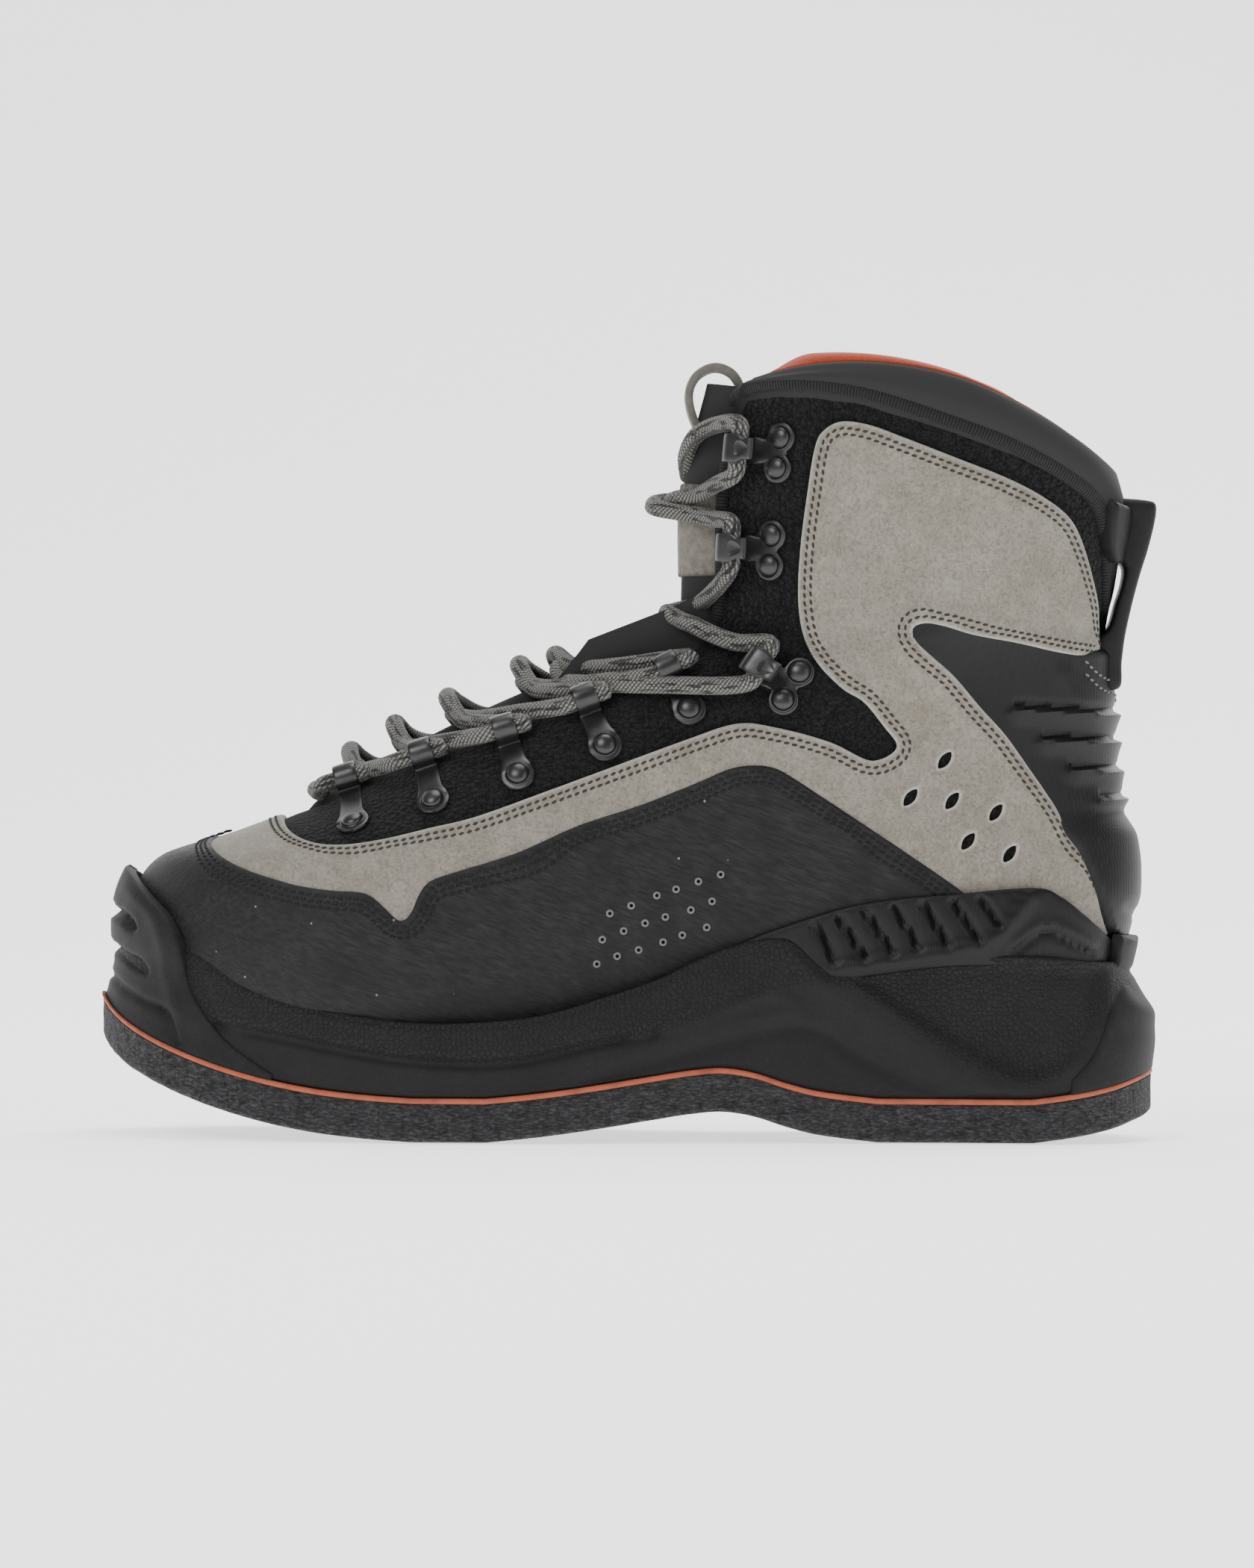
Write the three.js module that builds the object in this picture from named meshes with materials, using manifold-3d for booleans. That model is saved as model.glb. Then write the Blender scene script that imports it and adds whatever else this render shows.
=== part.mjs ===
// A wading boot for the left foot: felt outsole, moulded midsole, leather and mesh upper,
// speed lacing. Millimetres, +Z up, toe towards -X, outer side of the foot towards -Y.
// The origin is on the floor, on the flat of the heel.

import * as THREE from 'three';
import { mergeVertices } from 'three/addons/utils/BufferGeometryUtils.js';
import Module from 'manifold-3d';

const wasm = await Module();
wasm.setup();

// Overall sizes
const bootLength = 315;
const bootHeight = 230;
const ballWidth = 114;
const heelToOrigin = 48;

// Sole sizes
const feltThickness = 11.2;
const foxingThickness = 1.1;
const toeSpring = 29.6;
const archRise = 8.9;
const heelBevel = 8.4;
const forefootStack = 23;
const heelStack = 36;
const toeStack = 21;
const toeStandIn = 5;
const heelStandIn = 8;
const sideStandIn = 2.6;

// Walls and overlays
const upperWall = 2.4;
const leatherThickness = 1.8;
const randThickness = 2.2;
const counterThickness = 2.6;
const counterRib = 1.8;
const stabiliserThickness = 4.6;
const bumperThickness = 4.6;
const bumperRib = 2;
const cradleThickness = 4;
const insoleThickness = 4.5;
const collarPadThickness = 6;
const collarRoll = 0.9;
const tongueThickness = 4.5;
const tongueRaise = 3.6;
const fitGap = 0.3;

// Throat and tongue
const throatHalfWidthToe = 15;
const throatHalfWidthTop = 18;
const tongueWing = 9;

// Trim
const laceDiameter = 5.2;
const eyeletWidth = 9;
const eyeletSheet = 1.2;
const eyeletRoom = 0.5;
const laceClear = 1;
const rivetRadius = 3.4;
const rivetHeight = 1.8;
const rivetSides = 6;
const plateMargin = 0.8;
const hookWidth = 8;
const hookRise = 8.5;
const pullLoopWidth = 15;
const pullLoopSheet = 1.8;
const heelTabWidth = 20;

// Vertical reach of a cutting form past the end of the piece that it cuts
const cutReach = 30;
// Half the depth, across the boot, of a side view outline that is cut through it
const sideReach = 90;

const lengthAt = (share) => share * bootLength + heelToOrigin - bootLength;
const heightAt = (share) => share * bootHeight;
const shareOf = (x) => (x - heelToOrigin + bootLength) / bootLength;

// Turns a list of rows into objects whose fields have the names of the columns.
function table(columns, rows) {
  const names = columns.split(' ');
  return rows.map((row) => Object.fromEntries(names.map((name, i) => [name, row[i]])));
}

// Height of a smooth curve through points [x, y] at x, flat beyond both ends.
function smoothAt(points, x) {
  const last = points.length - 1;
  if (x <= points[0][0]) return points[0][1];
  if (x >= points[last][0]) return points[last][1];
  let i = 0;
  while (x > points[i + 1][0]) i += 1;
  const slope = (j) => {
    const before = points[Math.max(j - 1, 0)];
    const after = points[Math.min(j + 1, last)];
    return (after[1] - before[1]) / (after[0] - before[0]);
  };
  const span = points[i + 1][0] - points[i][0];
  const t = (x - points[i][0]) / span;
  const near = (1 + 2 * t) * (1 - t) ** 2;
  const lift = t * (1 - t) ** 2 * slope(i) - t * t * (1 - t) * slope(i + 1);
  return points[i][1] * near + points[i + 1][1] * (1 - near) + lift * span;
}

// Solids

// A closed geometry as a solid that can be joined and cut.
function solidOf(geometry) {
  const bare = geometry.index ? geometry.toNonIndexed() : geometry.clone();
  bare.deleteAttribute('normal');
  bare.deleteAttribute('uv');
  const merged = mergeVertices(bare, 1e-4);
  return new wasm.Manifold(new wasm.Mesh({
    numProp: 3,
    vertProperties: new Float32Array(merged.attributes.position.array),
    triVerts: new Uint32Array(merged.index.array),
  }));
}

// A solid from its points and faces, each face a list of three or four point numbers.
function solidFromFaces(points, faces) {
  const geometry = new THREE.BufferGeometry();
  const triangles = faces.flatMap(([a, b, c, d]) => (d === undefined ? [a, b, c] : [a, b, c, a, c, d]));
  geometry.setAttribute('position', new THREE.Float32BufferAttribute(points.flatMap((p) => p.toArray()), 3));
  geometry.setIndex(triangles);
  return solidOf(geometry);
}

function geometryOf(solid) {
  const mesh = solid.getMesh();
  const geometry = new THREE.BufferGeometry();
  geometry.setAttribute('position', new THREE.Float32BufferAttribute(mesh.vertProperties, 3));
  geometry.setIndex([...mesh.triVerts]);
  return geometry;
}

// Joins closed rings of equal point count into one closed solid. A ring starts at the toe
// end, runs along the outer side to the heel end and comes back along the inner side.
function loft(rings) {
  const count = rings[0].length;
  const half = count / 2;
  const faces = [];
  for (let k = 0; k + 1 < rings.length; k += 1) {
    for (let i = 0; i < count; i += 1) {
      const next = (i + 1) % count;
      faces.push([k * count + i, k * count + next, (k + 1) * count + next, (k + 1) * count + i]);
    }
  }
  const top = (rings.length - 1) * count;
  for (let i = 0; i < half; i += 1) {
    const a = i;
    const b = i + 1;
    const c = count - 1 - i;
    const d = (count - i) % count;
    const strip = i === 0 ? [a, b, c] : (i === half - 1 ? [a, b, d] : [a, b, c, d]);
    faces.push([...strip].reverse());
    faces.push(strip.map((n) => top + n));
  }
  return solidFromFaces(rings.flat(), faces);
}

// The side view outline [along, up], in shares, cut through the boot from y0 to y1.
function sidePrism(outline, y0 = -sideReach, y1 = sideReach) {
  const corners = outline.map(([along, up]) => new THREE.Vector2(lengthAt(along), heightAt(up)));
  const shape = new THREE.Shape(corners);
  const geometry = new THREE.ExtrudeGeometry(shape, { depth: y1 - y0, bevelEnabled: false });
  geometry.rotateX(Math.PI / 2);
  geometry.translate(0, y1, 0);
  return solidOf(geometry);
}

// A plan view outline of points [x, y] in millimetres, cut through the boot from z0 to z1.
function planPrism(outline, z0, z1) {
  const shape = new THREE.Shape(outline.map(([x, y]) => new THREE.Vector2(x, y)));
  const geometry = new THREE.ExtrudeGeometry(shape, { depth: z1 - z0, bevelEnabled: false });
  geometry.translate(0, 0, z0);
  return solidOf(geometry);
}

// Points on a smooth curve through the given [along, up] points.
function smoothLine(points, steps) {
  const curve = new THREE.SplineCurve(points.map(([a, b]) => new THREE.Vector2(a, b)));
  return curve.getPoints(steps).map((p) => [p.x, p.y]);
}

// The same closed outline with each side moved outwards by a distance in millimetres.
function grown(outline, distance) {
  const points = outline.map(([a, b]) => new THREE.Vector2(a * bootLength, b * bootHeight));
  const turn = THREE.ShapeUtils.isClockWise(points) ? -1 : 1;
  return points.map((point, i) => {
    const before = points[(i + points.length - 1) % points.length];
    const after = points[(i + 1) % points.length];
    const a = point.clone().sub(before).normalize();
    const b = after.clone().sub(point).normalize();
    const normal = new THREE.Vector2(a.y + b.y, -a.x - b.x);
    const stretch = Math.max(normal.lengthSq() / 2, 0.5);
    const moved = point.clone().addScaledVector(normal, (turn * distance) / stretch);
    return [moved.x / bootLength, moved.y / bootHeight];
  });
}

// Sole

// Height of the felt's underside above the floor: toe spring, arch and heel bevel.
const toeRise = [[0, 1], [0.014, 0.84], [0.03, 0.71], [0.06, 0.54], [0.1, 0.37], [0.15, 0.21],
  [0.2, 0.1], [0.25, 0.035], [0.3, 0]];
const archLift = [[0.37, 0], [0.42, 0.18], [0.47, 0.42], [0.52, 0.7], [0.56, 0.92], [0.59, 1],
  [0.62, 0.84], [0.65, 0.5], [0.68, 0.24], [0.735, 0]];
const heelLift = [[0.88, 0], [0.92, 0.2], [0.955, 0.46], [0.98, 0.76], [0.995, 0.96], [1, 1]];
const soleStations = [0, 0.006, 0.03, 0.07, 0.125, 0.2, 0.3, 0.37, 0.45, 0.52, 0.59, 0.66, 0.735,
  0.81, 0.88, 0.93, 0.972, 0.994, 1];

// A curve sampled at the sole's stations and straight between them, so that sole layers of
// different outline keep an even gap.
function stationed(curve) {
  const values = soleStations.map(curve);
  return (share) => {
    const inside = Math.min(Math.max(share, 0), 1);
    const next = Math.max(soleStations.findIndex((station) => station >= inside), 1);
    const [a, b] = [soleStations[next - 1], soleStations[next]];
    return values[next - 1] + ((values[next] - values[next - 1]) * (inside - a)) / (b - a);
  };
}

const undersideAt = stationed((share) => toeSpring * smoothAt(toeRise, share)
  + archRise * smoothAt(archLift, share) + heelBevel * smoothAt(heelLift, share));

// Rounds the two ends of a half width that runs from 0 at the toe to 1 at the heel.
function endRounding(t, nose, tail, power) {
  const round = (u, reach) => (u >= reach ? 1 : (1 - (1 - u / reach) ** power) ** (1 / power));
  return round(Math.max(t, 0), nose) * round(Math.max(1 - t, 0), tail);
}

// Half widths of the sole as shares of the ball width, and how far its middle line swings
// towards the big toe.
const soleHalfWidths = [[0, 0.44], [0.14, 0.455], [0.24, 0.485], [0.32, 0.5], [0.42, 0.47], [0.53, 0.395],
  [0.64, 0.36], [0.74, 0.362], [0.87, 0.378], [1, 0.37]];
const soleSwing = [[0, 0.085], [0.12, 0.045], [0.3, 0], [0.5, -0.03], [0.64, -0.026], [0.8, -0.005], [1, 0]];
// Reach of the sole's rounded toe and heel, and how full the two roundings are
const soleNose = 0.2;
const soleTail = 0.13;
const soleFullness = 2.3;

// One ring of the sole. Insets are in millimetres, height is a function of the share along.
function soleRing({ frontInset, backInset, sideInset, height }) {
  const outer = [];
  const inner = [];
  for (const t of soleStations) {
    const front = lengthAt(0) + frontInset;
    const back = lengthAt(1) - backInset;
    const x = front + (back - front) * t;
    const middle = ballWidth * smoothAt(soleSwing, t);
    const straight = ballWidth * smoothAt(soleHalfWidths, t) - sideInset;
    const halfWidth = straight * endRounding(t, soleNose, soleTail, soleFullness);
    const z = height(shareOf(x));
    outer.push(new THREE.Vector3(x, middle - halfWidth, z));
    inner.push(new THREE.Vector3(x, middle + halfWidth, z));
  }
  return [...outer, ...inner.slice(1, -1).reverse()];
}

function soleLayer(low, high, inset) {
  const insets = { frontInset: inset, backInset: inset, sideInset: inset };
  const ring = (rise) => soleRing({ ...insets, height: (share) => undersideAt(share) + rise });
  return loft([ring(low), ring(high)]);
}

const foxingBase = feltThickness + fitGap;
const midsoleBase = foxingBase + foxingThickness + fitGap;

// Top edge of the midsole from the side, as shares of length and height.
const midsoleEdge = [[0, 0.236], [0.09, 0.232], [0.114, 0.219], [0.138, 0.200], [0.168, 0.183],
  [0.198, 0.17], [0.243, 0.156], [0.3, 0.146], [0.365, 0.147], [0.425, 0.157], [0.484, 0.181],
  [0.529, 0.202], [0.559, 0.222], [0.589, 0.24], [0.63, 0.254], [0.655, 0.25], [0.69, 0.213],
  [0.738, 0.221], [0.798, 0.23], [0.858, 0.234], [0.903, 0.231], [0.933, 0.226], [1, 0.226]];

const midsoleEdgeAt = stationed((share) => heightAt(smoothAt(midsoleEdge, share)));

// The midsole's side wall from the foxing up: how far each level stands in from the outline,
// as shares of how far the upper edge stands in at the toe, the heel and the sides.
const midsoleLevels = table('rise front back side', [
  [0, 0.3, 0.125, 0.38],
  [0.35, 0.6, 0.025, 0.62],
  [0.75, 0.84, 0.425, 0.73],
  [1, 1, 1, 1],
]);

// The whole body between foxing and midsole edge, stood in on all sides by a distance. It
// can be carried down past the foxing, and its upper edge raised.
function midsoleForm(inset, below = 0, lift = 0) {
  const levels = below > 0 ? [{ ...midsoleLevels[0], drop: below }, ...midsoleLevels] : midsoleLevels;
  return loft(levels.map(({ rise, front, back, side, drop = 0 }) => soleRing({
    frontInset: front * toeStandIn + inset,
    backInset: back * heelStandIn + inset,
    sideInset: side * sideStandIn + inset,
    height: (share) => {
      const base = undersideAt(share) + midsoleBase;
      return base - drop + (midsoleEdgeAt(share) + lift - base) * rise;
    },
  })));
}

// Upper

// Height of the footbed above the floor.
function footbedAt(share) {
  const stack = [[0, toeStack], [0.14, 0.4 * toeStack + 0.6 * forefootStack], [0.3, forefootStack],
    [0.5, forefootStack + 1], [0.8, heelStack], [1, heelStack]];
  return undersideAt(share) + smoothAt(stack, share);
}

// Rings of the upper from the footbed to the collar. Front and back points are shares of
// length and height. Fore, middle and rear are half widths as shares of the ball width,
// nose and tail the reach of the two rounded ends. Dip is how far a ring follows the
// footbed, crown how high its middle stands above its ends as a share of the height, and
// swing how far its toe end leans to the big toe's side as a share of the ball width.
const upperRings = table('frontAlong frontUp backAlong backUp fore middle rear nose tail dip crown swing', [
  [0.050, 0.168, 0.940, 0.156, 0.415, 0.295, 0.290, 0.24, 0.16, 1.0, 0, 0.075],
  [0.036, 0.235, 0.952, 0.215, 0.445, 0.312, 0.315, 0.24, 0.17, 0.7, 0, 0.072],
  [0.036, 0.300, 0.960, 0.300, 0.448, 0.320, 0.321, 0.24, 0.17, 0.4, 0, 0.068],
  [0.056, 0.347, 0.957, 0.378, 0.428, 0.316, 0.311, 0.26, 0.20, 0.1, 0, 0.062],
  [0.100, 0.371, 0.949, 0.430, 0.395, 0.312, 0.303, 0.27, 0.22, 0, 0, 0.055],
  [0.180, 0.412, 0.944, 0.495, 0.360, 0.304, 0.297, 0.29, 0.26, 0, 0, 0.042],
  [0.270, 0.472, 0.943, 0.552, 0.324, 0.300, 0.290, 0.29, 0.28, 0, 0, 0.030],
  [0.370, 0.537, 0.943, 0.605, 0.284, 0.302, 0.286, 0.30, 0.31, 0, 0, 0.018],
  [0.465, 0.590, 0.946, 0.652, 0.258, 0.308, 0.284, 0.33, 0.34, 0, 0, 0.006],
  [0.535, 0.620, 0.950, 0.687, 0.262, 0.315, 0.285, 0.36, 0.36, 0, 0, 0],
  [0.566, 0.652, 0.953, 0.716, 0.282, 0.323, 0.288, 0.40, 0.38, 0, 0.004, 0],
  [0.576, 0.710, 0.957, 0.755, 0.299, 0.335, 0.295, 0.42, 0.40, 0, 0.014, 0],
  [0.579, 0.835, 0.964, 0.812, 0.316, 0.354, 0.311, 0.44, 0.42, 0, 0.034, 0],
  [0.599, 0.970, 0.961, 0.862, 0.330, 0.368, 0.322, 0.44, 0.42, 0, 0.062, 0],
]);
const upperColumns = Object.keys(upperRings[0]);
const upperSteps = 9;
const upperFullness = 2.2;
// Where fore, middle and rear half widths hold, from the toe end of a ring to its heel end
const foreEnd = 0.28;
const middleAt = 0.6;
const rearStart = 0.85;
const upperTop = upperRings.length - 1;

// All columns of the upper's table at a ring number that may lie between two rings.
function upperRingAt(level) {
  const at = (name) => smoothAt(upperRings.map((ring, i) => [i, ring[name]]), level);
  return Object.fromEntries(upperColumns.map((name) => [name, at(name)]));
}

// The point of the upper's outer surface at a ring level and a place t from toe to heel.
// Side is -1 on the outer side of the foot and 1 on the inner side.
function upperPoint(level, t, side, ring = upperRingAt(level)) {
  const along = ring.frontAlong + (ring.backAlong - ring.frontAlong) * t;
  const straight = ring.frontUp + (ring.backUp - ring.frontUp) * t;
  const bedLine = footbedAt(ring.frontAlong) * (1 - t) + footbedAt(ring.backAlong) * t;
  const dip = ring.dip * (footbedAt(along) - bedLine);
  const crown = heightAt(ring.crown) * 4 * t * (1 - t);
  const widths = [[0, ring.fore], [foreEnd, ring.fore], [middleAt, ring.middle], [rearStart, ring.rear],
    [1, ring.rear]];
  const halfWidth = ballWidth * smoothAt(widths, t) * endRounding(t, ring.nose, ring.tail, upperFullness);
  const swing = ballWidth * ring.swing * (1 - t) ** 3;
  return new THREE.Vector3(lengthAt(along), swing + side * halfWidth, heightAt(straight) + dip + crown);
}

// Rings of points of the upper's outer surface, each from the toe round the outer side.
function upperGrid() {
  return upperRings.map((ring, level) => {
    const outer = [];
    const inner = [];
    for (let i = 0; i <= upperSteps; i += 1) {
      const t = (1 - Math.cos((Math.PI * i) / upperSteps)) / 2;
      outer.push(upperPoint(level, t, -1, ring));
      inner.push(upperPoint(level, t, 1, ring));
    }
    return [...outer, ...inner.slice(1, -1).reverse()];
  });
}

const baseGrid = upperGrid();

// Outward normal of the grid at a ring and point number.
function gridNormal(k, i) {
  const ring = baseGrid[k];
  const count = ring.length;
  const along = ring[(i + 1) % count].clone().sub(ring[(i + count - 1) % count]);
  const up = baseGrid[Math.min(k + 1, upperTop)][i].clone().sub(baseGrid[Math.max(k - 1, 0)][i]);
  return along.cross(up).normalize();
}

// The upper's form moved outwards by a distance, with its ends carried down and up.
function upperForm(distance, below = 0, above = 0) {
  const rings = baseGrid.map((ring, k) => ring.map((point, i) => {
    return point.clone().addScaledVector(gridNormal(k, i), distance);
  }));
  const shifted = (ring, z) => ring.map((point) => point.clone().setZ(point.z + z));
  if (below > 0) rings.unshift(shifted(rings[0], -below));
  if (above > 0) rings.push(shifted(rings[rings.length - 1], above));
  return loft(rings);
}

// The place on the upper's surface that a side view point [along, up] falls on, with its
// outward normal.
function placeOn(along, up, side) {
  const heightOf = (level) => {
    const ring = upperRingAt(level);
    const t = (along - ring.frontAlong) / (ring.backAlong - ring.frontAlong);
    return t < 0 ? Infinity : upperPoint(level, Math.min(t, 1), side, ring).z;
  };
  let low = 0;
  let high = upperTop;
  for (let i = 0; i < 40; i += 1) {
    const middle = (low + high) / 2;
    if (heightOf(middle) > heightAt(up)) high = middle;
    else low = middle;
  }
  const ring = upperRingAt(low);
  const t = (along - ring.frontAlong) / (ring.backAlong - ring.frontAlong);
  const point = upperPoint(low, t, side);
  const step = 0.01;
  const forward = upperPoint(low, t + step, side).sub(upperPoint(low, t - step, side));
  const upward = upperPoint(low + step, t, side).sub(upperPoint(low - step, t, side));
  const normal = forward.cross(upward).normalize().multiplyScalar(-side);
  return { point, normal };
}

// Throat: a slot along the instep and up the shaft's front, as seen from above.
const throatStart = 0.19;
const throatEnd = 0.66;
const throatFloor = 0.3;
const throatSwing = 0.02;
const throatNoseSteps = 8;

function throatPrism(extra) {
  const toe = lengthAt(throatStart) - extra;
  const back = lengthAt(throatEnd);
  const near = throatHalfWidthToe + extra;
  const far = throatHalfWidthTop + extra;
  const nose = [];
  for (let i = 0; i <= throatNoseSteps; i += 1) {
    const angle = Math.PI * (0.5 + i / throatNoseSteps);
    nose.push([toe + near + near * Math.cos(angle), ballWidth * throatSwing + near * Math.sin(angle)]);
  }
  return planPrism([...nose, [back, -far], [back, far]], heightAt(throatFloor), bootHeight + cutReach);
}

// Outlines in the side view, as shares of length and height. Those that wrap the toe or
// the heel are closed in front of it or behind it.
const pastToe = -0.03;
const pastHeel = 1.05;
const pastTop = 1.2;

const rimLine = [[0.55, 0.945], [0.598, 0.948], [0.617, 0.970], [0.670, 0.973],
  [0.7235, 0.959], [0.789, 0.929], [0.854, 0.896], [0.903, 0.862], [0.936, 0.829], [0.950, 0.775],
  [0.950, 0.690], [0.953, 0.652]];
const aboveRim = [...rimLine, [pastHeel, 0.652], [pastHeel, pastTop], [0.55, pastTop]];

const randTopLine = [[0.151, 0.409], [0.120, 0.388], [0.109, 0.371], [0.144, 0.343], [0.198, 0.322],
  [0.249, 0.316], [0.262, 0.310], [0.290, 0.279], [0.303, 0.300], [0.326, 0.335], [0.400, 0.368],
  [0.514, 0.430], [0.595, 0.476], [0.619, 0.481], [0.637, 0.478], [0.679, 0.444], [0.738, 0.391],
  [0.800, 0.333]];
const stabiliserTopLine = [[0.589, 0.247], [0.649, 0.277], [0.708, 0.301], [0.768, 0.313], [0.816, 0.318],
  [0.858, 0.323], [0.894, 0.321], [0.912, 0.303], [0.933, 0.278], [0.956, 0.250]];
const leatherTopLine = [[0.174, 0.415], [0.192, 0.383], [0.228, 0.373], [0.287, 0.386], [0.410, 0.438],
  [0.559, 0.515], [0.613, 0.535], [0.664, 0.522], [0.727, 0.488], [0.750, 0.500], [0.741, 0.530],
  [0.701, 0.580], [0.675, 0.616], [0.660, 0.697], [0.663, 0.763], [0.675, 0.884], [0.698, 0.922],
  [0.756, 0.902], [0.854, 0.850], [0.913, 0.801], [0.936, 0.721], [0.940, 0.625]];
const leatherRearLine = [[0.932, 0.623], [0.854, 0.644], [0.795, 0.662], [0.768, 0.657], [0.784, 0.623],
  [0.830, 0.555], [0.876, 0.474], [0.914, 0.387], [0.939, 0.335], [0.955, 0.262]];
const bumperTopLine = [[pastToe, 0.345], [0.024, 0.336], [0.048, 0.306], [0.066, 0.284], [0.076, 0.263],
  [0.085, 0.226], [0.100, 0.175], [0.140, 0.110], [0.174, 0.070]];
// Height of the joint between heel counter and heel cradle
const heelSeatUp = 0.256;
const bumper = [...bumperTopLine, [0.174, 0.02], [pastToe, 0.02]];
const cradle = [[0.9615, heelSeatUp], [0.9615, 0.219], [0.953, 0.167], [0.937, 0.113], [0.925, 0.06],
  [0.925, 0.02], [pastHeel, 0.02], [pastHeel, heelSeatUp]];

const randUpper = smoothLine(randTopLine, 16);
const leatherUpper = smoothLine(leatherTopLine, 21);
const leatherRear = smoothLine(leatherRearLine, 8);
// The stabiliser's top edge is the lower edge of the rand in front and of the leather behind
const randJoint = 4;
const rand = [...randUpper, [0.816, 0.318], ...stabiliserTopLine.slice(0, randJoint).reverse(),
  [0.52, 0.15], [0.3, 0.10], [pastToe, 0.15], [pastToe, 0.42], [0.151, 0.45]];
const leather = [...leatherUpper, ...leatherRear, [0.9545, 0.251],
  ...stabiliserTopLine.slice(randJoint, -1).reverse(), ...[...randUpper].reverse()];
const counter = [...leatherRear, [0.9615, heelSeatUp], [pastHeel, heelSeatUp], [pastHeel, 0.64],
  [0.945, 0.64], [0.940, 0.625]];
const stabiliser = [...stabiliserTopLine,
  ...midsoleEdge.filter(([along]) => along > 0.6 && along < 0.96).reverse()];

// Sub-parts of the sole

const insetForGap = (outline) => grown(outline, -fitGap / 2);
const bumperCut = sidePrism(grown(bumper, fitGap));
const cradleCut = sidePrism(grown(cradle, fitGap));
const upperOuter = upperForm(fitGap, 0, cutReach);
const midsoleGrown = midsoleForm(-fitGap, cutReach, 2 * fitGap);

function midsole() {
  const core = midsoleForm(Math.max(bumperThickness, cradleThickness) + fitGap);
  const outer = midsoleForm(0).subtract(bumperCut).subtract(cradleCut);
  return outer.add(core).subtract(upperOuter);
}

// A skin of even thickness over the midsole's core, its upper edge and the upper above it.
function soleSkin(outline, thickness, extraOut) {
  const outside = midsoleForm(-extraOut, 0, thickness).add(upperForm(thickness + extraOut));
  const inside = midsoleForm(thickness, cutReach, 2 * fitGap).add(upperOuter);
  return outside.subtract(inside).intersect(sidePrism(outline));
}

// Ribs round the toe: bands [low, high] in height shares and how far back each one runs.
const toeRibs = table('low high back', [
  [0.199, 0.240, 0.075],
  [0.247, 0.281, 0.062],
  [0.288, 0.318, 0.045],
]);

function toeBumper() {
  const plain = soleSkin(insetForGap(bumper), bumperThickness, 0);
  const proud = soleSkin(insetForGap(bumper), bumperThickness, bumperRib);
  return toeRibs.reduce((body, { low, high, back }) => {
    const shoulder = back / 2;
    const tip = [back, (low + high) / 2];
    const outline = [[pastToe, low], [shoulder, low], tip, [shoulder, high], [pastToe, high]];
    return body.add(proud.intersect(sidePrism(outline)));
  }, plain);
}

function heelCradle() {
  return soleSkin(insetForGap(cradle), cradleThickness, 0);
}

// Sub-parts of the upper

// A layer on the upper between two distances from its surface, within a side view outline.
function overlay(outline, thickness, y0, y1) {
  const layer = upperForm(fitGap + thickness).subtract(upperForm(fitGap, cutReach, cutReach));
  return layer.intersect(sidePrism(insetForGap(outline), y0, y1));
}

function upperShell() {
  const shell = upperForm(0).subtract(upperForm(-upperWall, cutReach, cutReach));
  return shell.subtract(sidePrism(aboveRim)).subtract(throatPrism(0));
}

function randBand() {
  return overlay(rand, randThickness, -sideReach, sideReach).subtract(bumperCut).subtract(midsoleGrown);
}

const counterRibs = table('tipAlong tipUp rise', [
  [0.870, 0.548, 0.024],
  [0.894, 0.508, 0.024],
  [0.920, 0.468, 0.022],
  [0.942, 0.434, 0.016],
]);

function heelCounter() {
  const ribOutside = upperForm(fitGap + counterThickness + counterRib);
  const ribForm = ribOutside.subtract(upperForm(fitGap, cutReach, cutReach));
  return counterRibs.reduce((body, { tipAlong, tipUp, rise }) => {
    const rib = sidePrism([[tipAlong, tipUp], [pastHeel, tipUp - rise / 2], [pastHeel, tipUp + rise]]);
    return body.add(ribForm.intersect(rib));
  }, overlay(counter, counterThickness, -sideReach, sideReach));
}

function stabiliserWing(side) {
  const [y0, y1] = side < 0 ? [-sideReach, -fitGap] : [fitGap, sideReach];
  const body = overlay(stabiliser, stabiliserThickness, y0, y1);
  return body.subtract(midsoleForm(-2 * fitGap, cutReach, 3 * fitGap)).subtract(cradleCut);
}

const padInside = upperWall + fitGap + collarPadThickness;
const padLowLine = [[0.55, 0.74], [0.75, 0.70], [pastHeel, 0.60], [pastHeel, pastTop], [0.55, pastTop]];

function collarPadding() {
  const hidden = upperForm(-upperWall - fitGap).intersect(sidePrism(padLowLine));
  const roll = upperForm(collarRoll).intersect(sidePrism(grown(aboveRim, -fitGap)));
  const hollow = upperForm(-padInside, cutReach, cutReach);
  return hidden.add(roll).subtract(hollow).subtract(throatPrism(tongueWing + 2 * fitGap));
}

// The part of the side view that the tongue keeps to
const tongueReach = [[0.1, 0.3], [0.4, 0.44], [0.58, 0.56], [0.7, 0.6], [0.7, 0.95], [0.1, 0.95]];

function tongue() {
  const outside = upperForm(-upperWall - fitGap);
  const inside = upperForm(-upperWall - fitGap - tongueThickness, cutReach, cutReach);
  const raised = upperForm(tongueRaise).intersect(throatPrism(-2 * fitGap));
  const flap = outside.intersect(throatPrism(tongueWing));
  return flap.add(raised).subtract(inside).intersect(sidePrism(tongueReach));
}

// The lowest ring's plan, laid at a height above the footbed.
function bedRing(rise) {
  return baseGrid[0].map((point) => point.clone().setZ(footbedAt(shareOf(point.x)) + rise));
}

function insole() {
  const slab = loft([bedRing(fitGap), bedRing(fitGap + insoleThickness)]);
  return slab.intersect(upperForm(-upperWall - fitGap));
}

// Trim

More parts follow.
